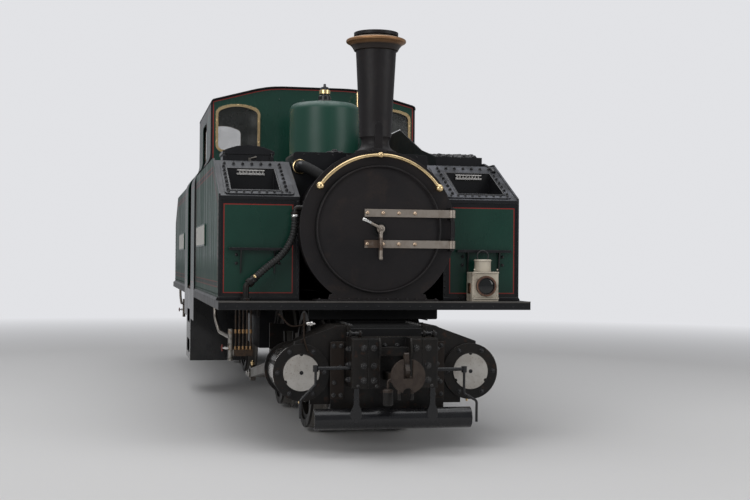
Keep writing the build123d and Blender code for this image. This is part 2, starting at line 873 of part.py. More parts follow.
# Bent pipes hung from the sides of the buffer block, in front of the cylinder covers
front_pipe_x = 4050
front_pipe_places = (
    (446, rail_top + 495, rail_top + 346, 527, rail_top + 299, rail_top + 170),
    (-479, rail_top + 508, rail_top + 411, -570, rail_top + 317, rail_top + 208),
)
front_pipe_rod_radius = 11
front_pipe_radius = 8
with BuildPart() as front_pipes:
    for rod_y, rod_z, bend_z, foot_y, foot_bend_z, foot_z in front_pipe_places:
        side = 1 if rod_y > 0 else -1
        with BuildSketch(side_plane(max(side * block_half_width, rod_y))):
            with Locations((front_pipe_x, rod_z)):
                Circle(front_pipe_rod_radius)
        extrude(amount=abs(rod_y) - block_half_width)
        with BuildSketch(Plane.XY.offset(rod_z - 20)):
            with Locations((front_pipe_x, rod_y)):
                Circle(front_pipe_rod_radius + 6)
        extrude(amount=38)
        add(tube(
            (
                (front_pipe_x, rod_y, rod_z),
                (front_pipe_x, rod_y, bend_z),
                (front_pipe_x, foot_y, foot_bend_z),
                (front_pipe_x, foot_y, foot_z),
            ),
            front_pipe_radius, 24,
        ))
keep_both_ends(front_pipes.part, "front_pipes")

# Running plate with a beam along its edge, narrower where the cab sides pass outside it
plate_opening_fit = 8
plate_opening_half_width = boiler_radius + plate_opening_fit
plate_opening_half_length = firebox_half_length + plate_opening_fit
plate_cab_half_width = cab_lower_half_width - cab_sheet
with BuildPart() as running_plate:
    with BuildSketch(Plane.XY.offset(plate_top - plate_thickness)):
        Rectangle(2 * plate_front_x, 2 * plate_cab_half_width)
        for end in (1, -1):
            with Locations((end * (plate_front_x + cab_half_length) / 2, 0)):
                Rectangle(plate_front_x - cab_half_length, 2 * plate_half_width)
        Rectangle(2 * plate_opening_half_length, 2 * plate_opening_half_width, mode=Mode.SUBTRACT)
    extrude(amount=plate_thickness)
    for end in (1, -1):
        near = end * cab_half_length
        far = end * plate_front_x
        block((far - end * beam_web, far), (-plate_half_width, plate_half_width),
              (plate_top - beam_depth, plate_top - plate_thickness))
        for side in (1, -1):
            block((near, far), (side * plate_half_width, side * (plate_half_width - beam_web)),
                  (plate_top - beam_depth, plate_top - plate_thickness))
    with BuildSketch(cross_plane(-smokebox_rear_x)):
        with Locations((0, boiler_height)):
            Circle(boiler_radius + plate_opening_fit)
    extrude(amount=2 * smokebox_rear_x, mode=Mode.SUBTRACT)
keep(running_plate.part, "running_plate")

# Cradle: two side members under the plate, cross members and the pivot posts
pivot_post_bottom = pivot_casting_bottom + 20
cross_member_half_length = 200
with BuildPart() as cradle:
    with BuildSketch(side_plane(cradle_inside + cradle_plate)):
        with BuildLine():
            Polyline(
                (-cradle_end_x, plate_top - plate_thickness),
                (-cradle_end_x, cradle_bottom),
                (-cradle_belly_x - 150, cradle_bottom),
                (-cradle_belly_x, cradle_belly_bottom),
                (cradle_belly_x, cradle_belly_bottom),
                (cradle_belly_x + 150, cradle_bottom),
                (cradle_end_x, cradle_bottom),
                (cradle_end_x, plate_top - plate_thickness),
                close=True,
            )
        make_face()
    extrude(amount=cradle_plate)
    mirror(about=Plane.XZ)
    for end in (1, -1):
        block(
            (end * (pivot_x - cross_member_half_length), end * (pivot_x + cross_member_half_length)),
            (-cradle_inside, cradle_inside),
            (cradle_bottom, plate_top - plate_thickness),
        )
        block((end * cradle_end_x, end * (cradle_end_x - 40)), (-cradle_inside, cradle_inside),
              (cradle_bottom, plate_top - plate_thickness))
    with BuildSketch(Plane.XY.offset(cradle_bottom)):
        with Locations((pivot_x, 0), (-pivot_x, 0)):
            Circle(pivot_radius)
    extrude(amount=pivot_post_bottom - cradle_bottom)
    with BuildSketch(cross_plane(-smokebox_rear_x)):
        with Locations((0, boiler_height)):
            Circle(boiler_radius + plate_opening_fit)
    extrude(amount=2 * smokebox_rear_x, mode=Mode.SUBTRACT)
keep(cradle.part, "cradle")

# Boiler: both barrels and the firebox between them
boiler_end_x = smokebox_rear_x
with BuildPart() as boiler:
    with BuildSketch(cross_plane(-boiler_end_x)):
        with Locations((0, boiler_height)):
            Circle(boiler_radius)
    extrude(amount=2 * boiler_end_x)
with BuildPart() as firebox:
    block((-firebox_half_length, firebox_half_length), (-boiler_radius, boiler_radius),
          (firebox_bottom, boiler_height - firebox_shoulder_drop))
    with BuildSketch(cross_plane(-firebox_half_length)):
        with Locations((0, boiler_height)):
            Circle(boiler_radius)
    extrude(amount=2 * firebox_half_length, mode=Mode.SUBTRACT)
keep(separate(boiler.part, firebox.part), "boiler")

# Smokebox: a hollow drum with a narrower neck between the tanks
ring_back_x = smokebox_front_x - smokebox_ring_thickness
drum_rear_x = tank_front_x + 8
with BuildPart() as smokebox:
    with BuildSketch(cross_plane(smokebox_rear_x)):
        with Locations((0, boiler_height)):
            Circle(smokebox_neck_radius)
    extrude(amount=drum_rear_x - smokebox_rear_x)
    with BuildSketch(cross_plane(drum_rear_x)):
        with Locations((0, boiler_height)):
            Circle(smokebox_drum_radius)
    extrude(amount=ring_back_x - drum_rear_x)
    with BuildSketch(cross_plane(smokebox_rear_x + smokebox_wall)):
        with Locations((0, boiler_height)):
            Circle(smokebox_neck_radius - smokebox_wall)
    extrude(amount=ring_back_x - smokebox_rear_x - smokebox_wall, mode=Mode.SUBTRACT)
    block((smokebox_rear_x, ring_back_x), (-smokebox_ring_radius, smokebox_ring_radius),
          (plate_top - 200, plate_top), mode=Mode.SUBTRACT)
    with BuildSketch(Plane.XY.offset(boiler_height)):
        with Locations((chimney_x, 0)):
            Circle(chimney_bore_radius)
    extrude(amount=smokebox_ring_radius, mode=Mode.SUBTRACT)

keep_both_ends_together(smokebox.part, "smokeboxes")

# Smokebox door: a shallow dish with two strap hinges on one pin, and its locking handles
door_back_x = smokebox_front_x + door_seat_gap
door_face_x = door_back_x + door_edge_thickness
strap_levels = (rail_top + 1466, rail_top + 1266)
strap_half_height = 25
strap_thickness = 9
strap_start_y = -100
with BuildPart() as smokebox_door:
    with BuildSketch(Plane.XZ):
        with BuildLine():
            foot = Polyline(
                (door_back_x + door_edge_thickness, boiler_height + door_radius),
                (door_back_x, boiler_height + door_radius),
                (door_back_x, boiler_height),
                (door_face_x + door_dome_rise, boiler_height),
            )
            ThreePointArc(
                foot @ 1,
                (door_face_x + door_dome_rise * 0.78, boiler_height + door_radius * 0.5),
                foot @ 0,
            )
        make_face()
    revolve(axis=Axis((0, 0, boiler_height), (1, 0, 0)))
keep_both_ends(smokebox_door.part, "smokebox_door")

strap_x = door_face_x + door_dome_rise
hinge_pin_fit = 0.4
hinge_lug_height = 16
hinge_lug_gap = 1.5
hinge_lug_levels = []
for level in strap_levels:
    hinge_lug_levels.append(level + strap_half_height + hinge_lug_gap)
    hinge_lug_levels.append(level - strap_half_height - hinge_lug_gap - hinge_lug_height)

# Front ring, cut flat where it stands on the plate, and the foot under it
with BuildPart() as smokebox_ring:
    with BuildSketch(cross_plane(ring_back_x)):
        with BuildLine():
            Polyline(
                (-smokebox_foot_half_width, plate_top),
                (-smokebox_foot_half_width + 14, plate_top + smokebox_foot_height),
                (smokebox_foot_half_width - 14, plate_top + smokebox_foot_height),
                (smokebox_foot_half_width, plate_top),
                close=True,
            )
        make_face()
        with Locations((0, boiler_height)):
            Circle(smokebox_ring_radius)
            Circle(door_hole_radius, mode=Mode.SUBTRACT)
        with Locations((0, plate_top - smokebox_ring_radius)):
            Rectangle(2 * smokebox_ring_radius, 2 * smokebox_ring_radius, mode=Mode.SUBTRACT)
    extrude(amount=smokebox_ring_thickness)
    for level in hinge_lug_levels:
        block((smokebox_front_x, strap_x), (door_hinge_y - 14, door_hinge_y + 14), (level, level + hinge_lug_height))
        with BuildSketch(Plane.XY.offset(level)):
            with Locations((strap_x, door_hinge_y)):
                Circle(14)
        extrude(amount=hinge_lug_height)
    with BuildSketch(Plane.XY.offset(min(hinge_lug_levels))):
        with Locations((strap_x, door_hinge_y)):
            Circle(door_hinge_radius)
    extrude(amount=max(hinge_lug_levels) + hinge_lug_height - min(hinge_lug_levels))
keep_both_ends_together(smokebox_ring.part, "smokebox_rings")

with BuildPart() as door_straps:
    for level in strap_levels:
        block((door_face_x, strap_x + strap_thickness), (strap_start_y, door_hinge_y),
              (level - strap_half_height, level + strap_half_height))
        with BuildSketch(Plane.XY.offset(level - strap_half_height)):
            with Locations((strap_x, door_hinge_y)):
                Circle(2 * door_hinge_radius)
        extrude(amount=2 * strap_half_height)
    with BuildSketch(Plane.XY.offset(strap_levels[1] - 2 * strap_half_height)):
        with Locations((strap_x, door_hinge_y)):
            Circle(door_hinge_radius + hinge_pin_fit)
    extrude(amount=strap_levels[0] - strap_levels[1] + 4 * strap_half_height, mode=Mode.SUBTRACT)
    add(smokebox_door.part, mode=Mode.SUBTRACT)
    with BuildSketch(cross_plane(strap_x - 8)):
        with Locations((0, boiler_height)):
            Circle(26)
    extrude(amount=50)
    block((strap_x + 34, strap_x + 42), (-12, 12), (boiler_height - 190, boiler_height))
    add(smokebox_door.part, mode=Mode.SUBTRACT)
keep_both_ends(door_straps.part, "door_straps")

# Handrail over the smokebox front: a bent rod on three knobs
rail_x = smokebox_front_x + rail_stand_off
rail_angles = (rail_end_angle, 90, 180 - rail_end_angle)


def on_rail(angle):
    """A point on the handrail's centre line."""
    return rail_arc_radius * cos(radians(angle)), boiler_height + rail_arc_radius * sin(radians(angle))


with BuildPart() as smokebox_rail:
    with BuildLine(cross_plane(rail_x)) as rail_line:
        ThreePointArc(on_rail(rail_angles[0]), on_rail(rail_angles[1]), on_rail(rail_angles[2]))
    with BuildSketch(Plane(origin=rail_line.line @ 0, z_dir=rail_line.line % 0)):
        Circle(rail_rod_radius)
    sweep(path=rail_line.line)
    for angle in rail_angles:
        y, z = on_rail(angle)
        with Locations((rail_x, y, z)):
            Sphere(rail_knob_radius if angle != 90 else rail_knob_radius - 5)
        with BuildSketch(cross_plane(smokebox_front_x)):
            with Locations((y, z)):
                Circle(rail_rod_radius - 2)
        extrude(amount=rail_stand_off)
keep_both_ends_together(smokebox_rail.part, "smokebox_rails")

# Chimney: tapered shell on a flared foot, with a turned cap
chimney_foot_height = boiler_height + smokebox_drum_radius
chimney_waist = chimney_foot_height + 106
chimney_lug_height = 199
chimney_lug_top = chimney_foot_height + chimney_lug_height
chimney_lug_half_width = 26
with BuildPart() as chimney:
    with BuildSketch(Plane.XZ):
        with BuildLine():
            inner = Polyline(
                (chimney_x + chimney_waist_radius, chimney_waist),
                (chimney_x + chimney_top_radius, chimney_cap_bottom),
                (chimney_x + chimney_top_radius, chimney_cap_bottom + 96),
                (chimney_x + chimney_lip_radius, chimney_cap_bottom + 100),
                (chimney_x + chimney_lip_radius, chimney_top),
                (chimney_x + chimney_bore_radius + 16, chimney_top),
                (chimney_x + chimney_bore_radius, chimney_waist),
                (chimney_x + chimney_bore_radius, chimney_foot_height - 40),
                (chimney_x + chimney_foot_radius, chimney_foot_height - 40),
                (chimney_x + chimney_foot_radius, chimney_foot_height + 14),
            )
            TangentArc((inner @ 1, inner @ 0), tangent=(-1, 0.25))
        make_face()
    revolve(axis=Axis((chimney_x, 0, 0), (0, 0, 1)))
    with BuildSketch(cross_plane(chimney_x + chimney_waist_radius - 12)):
        with Locations((0, (chimney_foot_height + chimney_lug_top) / 2)):
            SlotOverall(chimney_lug_top - chimney_foot_height, 2 * chimney_lug_half_width, rotation=90)
    extrude(amount=22)
    with BuildSketch(cross_plane(smokebox_rear_x)):
        with Locations((0, boiler_height)):
            Circle(smokebox_drum_radius)
    extrude(amount=plate_front_x - smokebox_rear_x, mode=Mode.SUBTRACT)
    with BuildSketch(cross_plane(smokebox_front_x - smokebox_ring_thickness)):
        with Locations((0, boiler_height)):
            Circle(smokebox_ring_radius)
    extrude(amount=smokebox_ring_thickness, mode=Mode.SUBTRACT)
keep_both_ends_together(chimney.part, "chimneys")

with BuildPart() as chimney_cap:
    with BuildSketch(Plane.XZ):
        with BuildLine():
            cap = Polyline(
                (chimney_x + chimney_cap_radius - 12, chimney_cap_bottom + 78),
                (chimney_x + chimney_top_radius, chimney_cap_bottom + 95),
                (chimney_x + chimney_top_radius, chimney_cap_bottom),
                (chimney_x + chimney_top_radius + 12, chimney_cap_bottom + 4),
            )
            edge = ThreePointArc(
                cap @ 0,
                (chimney_x + chimney_cap_radius, chimney_cap_bottom + 66),
                (chimney_x + chimney_cap_radius - 10, chimney_cap_bottom + 54),
            )
            ThreePointArc(
                edge @ 1,
                (chimney_x + chimney_top_radius + 28, chimney_cap_bottom + 32),
                cap @ 1,
            )
        make_face()
    revolve(axis=Axis((chimney_x, 0, 0), (0, 0, 1)))
keep_both_ends_together(chimney_cap.part, "chimney_caps")

# Dome on the barrel, its crown a part of a ball, and the valve on its top
crown_radius = (dome_radius ** 2 + dome_crown_drop ** 2) / (2 * dome_crown_drop)
crown_middle_drop = crown_radius - sqrt(crown_radius ** 2 - dome_radius ** 2 / 4)
with BuildPart() as dome:
    with BuildSketch(side_plane(0)) as dome_half:
        with BuildLine():
            wall = Polyline(
                (dome_x, boiler_height),
                (dome_x + dome_radius, boiler_height),
                (dome_x + dome_radius, dome_top - dome_crown_drop),
            )
            crown = ThreePointArc(
                wall @ 1,
                (dome_x + dome_radius / 2, dome_top - crown_middle_drop),
                (dome_x, dome_top),
            )
            Line(crown @ 1, wall @ 0)
        make_face()
        fillet(dome_half.vertices().group_by(Axis.X)[-1].sort_by(Axis.Y)[-1], dome_shoulder_radius)
    revolve(axis=Axis((dome_x, 0, 0), (0, 0, 1)))
    with BuildSketch(cross_plane(cab_half_length)):
        with Locations((0, boiler_height)):
            Circle(boiler_radius)
    extrude(amount=smokebox_rear_x - cab_half_length, mode=Mode.SUBTRACT)
keep_both_ends_together(dome.part, "domes")

with BuildPart() as valve:
    with BuildSketch(side_plane(0)):
        with BuildLine():
            Polyline(
                (dome_x, dome_top - dome_crown_drop / 4),
                (dome_x + valve_radius, dome_top - dome_crown_drop / 4),
                (dome_x + valve_radius, valve_top - 84),
                (dome_x + valve_radius + 12, valve_top - 84),
                (dome_x + valve_radius + 12, valve_top - 54),
                (dome_x + valve_radius + 3, valve_top - 54),
                (dome_x + valve_radius - 4, valve_top - 28),
                (dome_x + 12, valve_top - 22),
                (dome_x + 10, valve_top),
                (dome_x, valve_top),
                close=True,
            )
        make_face()
    revolve(axis=Axis((dome_x, 0, 0), (0, 0, 1)))
    add(dome.part, mode=Mode.SUBTRACT)
keep_both_ends_together(valve.part, "dome_valves")

# Sandbox saddled over the barrel behind the smokebox
with BuildPart() as sandbox:
    block((sandbox_front_x - sandbox_length, sandbox_front_x), (-sandbox_half_width, sandbox_half_width),
          (boiler_height + 120, sandbox_top))
    with BuildSketch(cross_plane(sandbox_front_x - sandbox_length)):
        with Locations((0, boiler_height)):
            Circle(boiler_radius)
    extrude(amount=sandbox_length, mode=Mode.SUBTRACT)
    fillet(sandbox.edges().group_by(Axis.Z)[-1].filter_by(Axis.X), sandbox_edge_radius)
    with BuildSketch(Plane.XY.offset(sandbox_top)):
        with Locations((sandbox_front_x - sandbox_length / 2, sandbox_lid_y)):
            Circle(sandbox_lid_radius)
    extrude(amount=sandbox_lid_height)

# Steam pipe from the sandbox front into the smokebox's shoulder
steam_pipe_radius = 28
steam_pipe_route = (
    (sandbox_front_x, -438, rail_top + 1806),
    (sandbox_front_x + 110, -438, rail_top + 1806),
    (sandbox_front_x + 200, -350, rail_top + 1752),
    (sandbox_front_x + 240, -270, rail_top + 1690),
)
with BuildPart() as steam_pipe:
    add(tube(steam_pipe_route, steam_pipe_radius, 44))
    with BuildSketch(cross_plane(sandbox_front_x)):
        with Locations((steam_pipe_route[0][1], steam_pipe_route[0][2])):
            Circle(steam_pipe_radius + 17)
    extrude(amount=14)
    with BuildSketch(cross_plane(smokebox_rear_x)):
        with Locations((0, boiler_height)):
            Circle(smokebox_neck_radius)
    extrude(amount=drum_rear_x - smokebox_rear_x, mode=Mode.SUBTRACT)
keep_separate_together((sandbox.part, steam_pipe.part), "sandboxes")

# Side tanks with the well in the sloping front
with BuildPart() as side_tank:
    with BuildSketch(side_plane(tank_outside)):
        with BuildLine():
            Polyline(
                (cab_half_length, plate_top),
                (tank_front_x, plate_top),
                (tank_front_x, tank_face_top),
                (tank_slope_rear_x, tank_top),
                (cab_half_length, tank_top),
                close=True,
            )
        make_face()
    extrude(amount=tank_outside - tank_inside)
    slope_rise = (tank_top - tank_face_top) / (tank_front_x - tank_slope_rear_x)
    slope = atan2(tank_top - tank_face_top, tank_front_x - tank_slope_rear_x)
    slope_plane = Plane(origin=(tank_front_x, 0, tank_face_top), x_dir=(-cos(slope), 0, sin(slope)),
                        z_dir=(sin(slope), 0, cos(slope)))
    slope_frame_inside = tank_inside + slope_frame_margins[0]
    slope_frame_outside = tank_outside - slope_frame_margins[1]
    with BuildSketch(slope_plane):
        with Locations((sum(slope_frame_length) / 2, -(slope_frame_inside + slope_frame_outside) / 2)):
            RectangleRounded(slope_frame_length[1] - slope_frame_length[0],
                             slope_frame_outside - slope_frame_inside, slope_frame_corner)
    extrude(amount=slope_frame_thickness)
    with BuildSketch(side_plane(tank_outside)):
        with BuildLine():
            Polyline(
                (tank_front_x, tank_face_top),
                (tank_front_x, tank_face_top + tank_lip_height),
                (tank_slope_rear_x, tank_top + tank_lip_height),
                (cab_half_length, tank_top + tank_lip_height),
                (cab_half_length, tank_top),
                (tank_slope_rear_x, tank_top),
                close=True,
            )
        make_face()
    extrude(amount=tank_lip_width)
    well_front_z = tank_face_top + (tank_front_x - tank_well_front_x) * slope_rise
    well_rear_z = tank_face_top + (tank_front_x - tank_well_rear_x) * slope_rise
    with BuildSketch(side_plane(tank_well_outside)):
        with BuildLine():
            Polyline(
                (tank_well_front_x, well_front_z + 60),
                (tank_well_front_x, well_front_z - tank_well_depth / 2),
                (tank_well_rear_x, well_rear_z - tank_well_depth),
                (tank_well_rear_x, well_rear_z + 60),
                close=True,
            )
        make_face()
    extrude(amount=tank_well_outside - tank_well_inside, mode=Mode.SUBTRACT)
    mirror(about=Plane.XZ)
keep_both_ends_together(side_tank.part, "side_tanks")

# Narrow shelf on each tank front, with two gusset brackets
shelf_top = rail_top + shelf_above_rail
shelf_y = (tank_outside - shelf_margin - shelf_width, tank_outside - shelf_margin)
bracket_thickness = 8
with BuildPart() as tank_shelf:
    block((tank_front_x, tank_front_x + shelf_depth), shelf_y, (shelf_top - shelf_thickness, shelf_top))
    block((tank_front_x + shelf_depth - shelf_thickness, tank_front_x + shelf_depth), shelf_y,
          (shelf_top - 3 * shelf_thickness, shelf_top))
    for bracket_y in (shelf_y[0] + shelf_bracket_inset, shelf_y[1] - shelf_bracket_inset):
        with BuildSketch(side_plane(bracket_y + bracket_thickness / 2)):
            with BuildLine():
                Polyline(
                    (tank_front_x, shelf_top - shelf_thickness),
                    (tank_front_x + shelf_depth - shelf_thickness, shelf_top - shelf_thickness),
                    (tank_front_x + shelf_thickness, shelf_top - shelf_bracket_drop),
                    (tank_front_x, shelf_top - shelf_bracket_drop),
                    close=True,
                )
            make_face()
        extrude(amount=bracket_thickness)
    mirror(about=Plane.XZ)
keep_both_ends_together(tank_shelf.part, "tank_shelves")

# Tank filler on the right-hand tanks: a box and its hinged, arched lid
filler_top = tank_top + filler_height
lid_bottom = filler_top + 1
lid_hinge_x = filler_x[0] - lid_overhang - lid_hinge_gap - lid_hinge_radius
barrel_length = (filler_width - 20) / 3
hinge_barrels = [
    (-filler_y[1] + 10 + barrel_length * place, -filler_y[1] + 10 + barrel_length * (place + 1)) for place in range(3)
]
with BuildPart() as filler_box:
    block(filler_x, (-filler_y[1], -filler_y[0]), (tank_top, filler_top))
    block(
        (filler_x[0] + 12, filler_x[1] - 12), (-filler_y[1] + 12, -filler_y[0] - 12),
        (tank_top + 6, filler_top), mode=Mode.SUBTRACT,
    )
    for barrel in (hinge_barrels[0], hinge_barrels[2]):
        with BuildSketch(side_plane(barrel[1])):
            with Locations((lid_hinge_x, lid_bottom)):
                Circle(lid_hinge_radius)
        extrude(amount=barrel[1] - barrel[0])
        block((lid_hinge_x - lid_hinge_radius, filler_x[0]), barrel, (lid_bottom - 12, lid_bottom - 5))
keep_both_ends_together(filler_box.part, "filler_boxes")

with BuildPart() as filler_lid:
    with BuildSketch(cross_plane(filler_x[0] - lid_overhang)):
        with BuildLine():
            base = Line((-filler_y[1] - lid_overhang, lid_bottom), (-filler_y[0] + lid_overhang, lid_bottom))
            right_edge = Line(base @ 1, (-filler_y[0] + lid_overhang, lid_bottom + 22))
            left_edge = Line(base @ 0, (-filler_y[1] - lid_overhang, lid_bottom + 22))
            ThreePointArc(
                left_edge @ 1,
                (-(filler_y[0] + filler_y[1]) / 2, lid_bottom + lid_rise),
                right_edge @ 1,
            )
        make_face()
    extrude(amount=filler_x[1] - filler_x[0] + 2 * lid_overhang)
    middle = (hinge_barrels[1][0] + 2, hinge_barrels[1][1] - 2)
    with BuildSketch(side_plane(middle[1])):
        with Locations((lid_hinge_x, lid_bottom)):
            Circle(lid_hinge_radius)
    extrude(amount=middle[1] - middle[0])
    block((lid_hinge_x, filler_x[0]), middle, (lid_bottom, lid_bottom + 5))
keep_both_ends(filler_lid.part, "filler_lid")

# Coal bunkers on the left-hand tanks, the inner wall rising towards the cab, and the coal in them
bunker_rear_x = cab_half_length + bunker_cab_gap
with BuildPart() as bunker:
    with BuildSketch(side_plane(bunker_y[1])):
        with BuildLine():
            Polyline(
                (bunker_rear_x, tank_top),
                (bunker_front_x, tank_top),
                (bunker_front_x, tank_top + bunker_front_height),
                (bunker_rear_x, tank_top + bunker_outer_height),
                close=True,
            )
        make_face()
    extrude(amount=bunker_y[1] - bunker_y[0])
    block(
        (bunker_rear_x + bunker_wall, bunker_front_x - bunker_wall),
        (bunker_y[0] + bunker_wall, bunker_y[1] - bunker_wall),
        (tank_top + bunker_wall, tank_top + bunker_cab_height),
        mode=Mode.SUBTRACT,
    )
    with BuildSketch(side_plane(bunker_y[0] + bunker_wall)):
        with BuildLine():
            Polyline(
                (bunker_rear_x, tank_top),
                (bunker_front_x, tank_top),
                (bunker_front_x, tank_top + bunker_front_height),
                (bunker_slope_foot_x, tank_top + bunker_slope_foot_height),
                (bunker_rear_x + bunker_level_length, tank_top + bunker_cab_height),
                (bunker_rear_x, tank_top + bunker_cab_height),
                close=True,
            )
        make_face()
    extrude(amount=bunker_wall)
keep_both_ends_together(bunker.part, "coal_bunkers")

with BuildPart() as coal:
    with BuildSketch(side_plane(bunker_y[1] - bunker_wall)):
        with BuildLine():
            Polyline(
                (bunker_rear_x + bunker_wall, tank_top + bunker_wall),
                (bunker_front_x - bunker_wall, tank_top + bunker_wall),
                (bunker_front_x - bunker_wall, tank_top + bunker_front_height - 8),
                (bunker_front_x - 300, tank_top + bunker_front_height + 50),
                (bunker_rear_x + 600, tank_top + 210),
                (bunker_rear_x + bunker_wall, tank_top + 250),
                close=True,
            )
        make_face()
    extrude(amount=bunker_y[1] - bunker_y[0] - 2 * bunker_wall)
keep_both_ends_together(coal.part, "coal")


def cab_side_path(bottom):
    """Outer line of the left cab side, from a height up to the eaves, in y and z."""
    middle = (
        (cab_lower_half_width + cab_upper_half_width) / 2,
        (cab_shoulder_low + cab_shoulder_high) / 2,
    )
    lower = Line((cab_lower_half_width, bottom), (cab_lower_half_width, cab_shoulder_low))
    swell = TangentArc((lower @ 1, middle), tangent=(0, 1))
    waist = TangentArc((swell @ 1, (cab_upper_half_width, cab_shoulder_high)), tangent=swell % 1)
    return Line(waist @ 1, (cab_upper_half_width, cab_eaves - cab_sheet - roof_fit))


# Cab sides with their doorways; below the plate they carry the steps
doorway_bottom = plate_top
with BuildPart() as cab_side:
    with BuildSketch(cross_plane(cab_sheet - cab_half_length)):
        with BuildLine():
            cab_side_path(cab_step_bottom)
            offset(amount=cab_sheet, side=Side.LEFT)
        make_face()
    extrude(amount=2 * (cab_half_length - cab_sheet))
    with BuildSketch(side_plane(cab_lower_half_width)):
        with Locations((0, (doorway_bottom + door_opening_top) / 2)):
            RectangleRounded(2 * door_opening_half_width, door_opening_top - doorway_bottom, 60)
        with Locations((0, doorway_bottom + 60)):
            Rectangle(2 * door_opening_half_width, 120)
    extrude(amount=cab_lower_half_width - cab_upper_half_width + 2 * cab_sheet, mode=Mode.SUBTRACT)
    for end in (1, -1):
        block(
            (end * cab_step_half_width, end * cab_half_length),
            (cab_lower_half_width - 2 * cab_sheet, cab_lower_half_width + cab_sheet),
            (cab_step_bottom - 10, plate_top - cab_apron_depth), mode=Mode.SUBTRACT,
        )
    with BuildSketch(side_plane(cab_lower_half_width)):
        for rise in foot_hole_rises:
            with Locations((0, cab_step_bottom + rise + foot_hole_height / 2)):
                RectangleRounded(2 * foot_hole_half_width, foot_hole_height, 30)
    extrude(amount=cab_sheet, mode=Mode.SUBTRACT)
    mirror(about=Plane.XZ)

# Step treads behind the foot holes, each with an upstand at its back, in a well of four sheets
tread_outside = cab_lower_half_width - cab_sheet
tread_inside = tread_outside - step_tread_depth
step_well_inside = tread_outside - step_well_depth
step_pieces = []
for rise in foot_hole_rises:
    tread_top = cab_step_bottom + rise
    with BuildPart() as tread:
        block((-foot_hole_half_width - 20, foot_hole_half_width + 20), (tread_inside, tread_outside),
              (tread_top - step_tread_thickness, tread_top))
        block((-foot_hole_half_width - 20, foot_hole_half_width + 20),
              (tread_inside, tread_inside + step_tread_thickness), (tread_top, tread_top + 60))
        mirror(about=Plane.XZ)
    step_pieces.append(tread.part)
well_side_y = (step_well_inside + cab_sheet, tread_outside)
for sheet_x, sheet_y, sheet_top in (
    ((-cab_step_half_width, cab_step_half_width), (step_well_inside, step_well_inside + cab_sheet),
     plate_top - plate_thickness),
    ((cab_step_half_width - cab_sheet, cab_step_half_width), well_side_y, plate_top - plate_thickness),
    ((-cab_step_half_width, cab_sheet - cab_step_half_width), well_side_y, plate_top - plate_thickness),
    ((cab_sheet - cab_step_half_width, cab_step_half_width - cab_sheet), well_side_y,
     cab_step_bottom + cab_sheet),
):
    with BuildPart() as well_sheet:
        block(sheet_x, sheet_y, (cab_step_bottom, sheet_top))
        mirror(about=Plane.XZ)
    step_pieces.append(well_sheet.part)
keep(separate(cab_side.part, *step_pieces), "cab_sides")

# Cab end sheets with their windows
roof_corner = cab_eaves + roof_corner_rise
roof_slope = atan2(cab_crown - roof_corner, cab_upper_half_width - roof_flat_half_width)


def roof_line(inset, half):
    """The roof's outline on the left side, or on both, moved inwards by inset."""
    lift = inset / cos(roof_slope)
    tangent = sin(roof_slope) / cos(roof_slope)
    side_y = cab_upper_half_width - inset
    corner_z = roof_corner + inset * tangent - lift
    bend_y = cab_upper_half_width - (cab_crown - roof_corner - inset + lift) / tangent
    left = [(side_y, cab_eaves - cab_sheet), (side_y, corner_z), (bend_y, cab_crown - inset)]
    radii = [roof_corner_radius - inset, roof_bend_radius - inset]
    if half:
        return FilletPolyline(*left, (0, cab_crown - inset), radius=radii)
    right = [(-y, z) for y, z in left[::-1]]
    return FilletPolyline(*left, *right, radius=radii + radii[::-1])


window_centre_y = sum(window_y) / 2


def window_shape(grow):
    """An arched window, larger all round by grow, with its sill at the origin."""
    half = window_width / 2 + grow
    with BuildSketch() as shape:
        with BuildLine():
            sill = Line((-half, -grow), (half, -grow))
            jamb = Line(sill @ 1, (half, window_side_top - window_bottom + grow))
            head = ThreePointArc(
                jamb @ 1,
                (0, window_top - window_bottom + grow),
                (-half, window_side_top - window_bottom + grow),
            )
            Line(head @ 1, sill @ 0)
        make_face()
        fillet(shape.vertices(), window_corner_radius + grow)
    return shape.sketch


window_opening = window_shape(0)
rim_outer = window_shape(rim_width / 2)
rim_inner = window_shape(-rim_width / 2)
window_places = ((window_centre_y, window_bottom), (-window_centre_y, window_bottom))
with BuildPart() as cab_end:
    with BuildSketch(cross_plane(cab_half_length - cab_sheet)):
        with BuildLine():
            upper = cab_side_path(plate_top)
            crown = roof_line(cab_sheet + roof_fit, half=True)
            Line(upper @ 1, crown @ 0)
            centre_line = Line(crown @ 1, (0, plate_top))
            Line(centre_line @ 1, (cab_lower_half_width, plate_top))
        make_face()
        mirror(about=Plane.YZ)
        with Locations((0, boiler_height)):
            Circle(boiler_radius, mode=Mode.SUBTRACT)
        with Locations(*window_places):
            add(window_opening, mode=Mode.SUBTRACT)
    extrude(amount=cab_sheet)
keep_both_ends_together(cab_end.part, "cab_ends")

# Cab roof
with BuildPart() as cab_roof:
    with BuildSketch(cross_plane(-cab_half_length - cab_roof_overhang)):
        with BuildLine():
            outer = roof_line(0, half=False)
            inner = roof_line(cab_sheet, half=False)
            Line(outer @ 0, inner @ 0)
            Line(outer @ 1, inner @ 1)
        make_face()
    extrude(amount=2 * (cab_half_length + cab_roof_overhang))
keep(cab_roof.part, "cab_roof")

# Window rims and glass
with BuildPart() as window_rims:
    with BuildSketch(cross_plane(cab_half_length)):
        with Locations(*window_places):
            add(rim_outer)
            add(rim_inner, mode=Mode.SUBTRACT)
    extrude(amount=rim_proud)
keep_both_ends_together(window_rims.part, "window_rims")

with BuildPart() as window_glass:
    with BuildSketch(cross_plane(cab_half_length - cab_sheet)):
        with Locations(*window_places):
            add(window_opening)
    extrude(amount=glass_thickness)
keep_both_ends_together(window_glass.part, "window_glass")

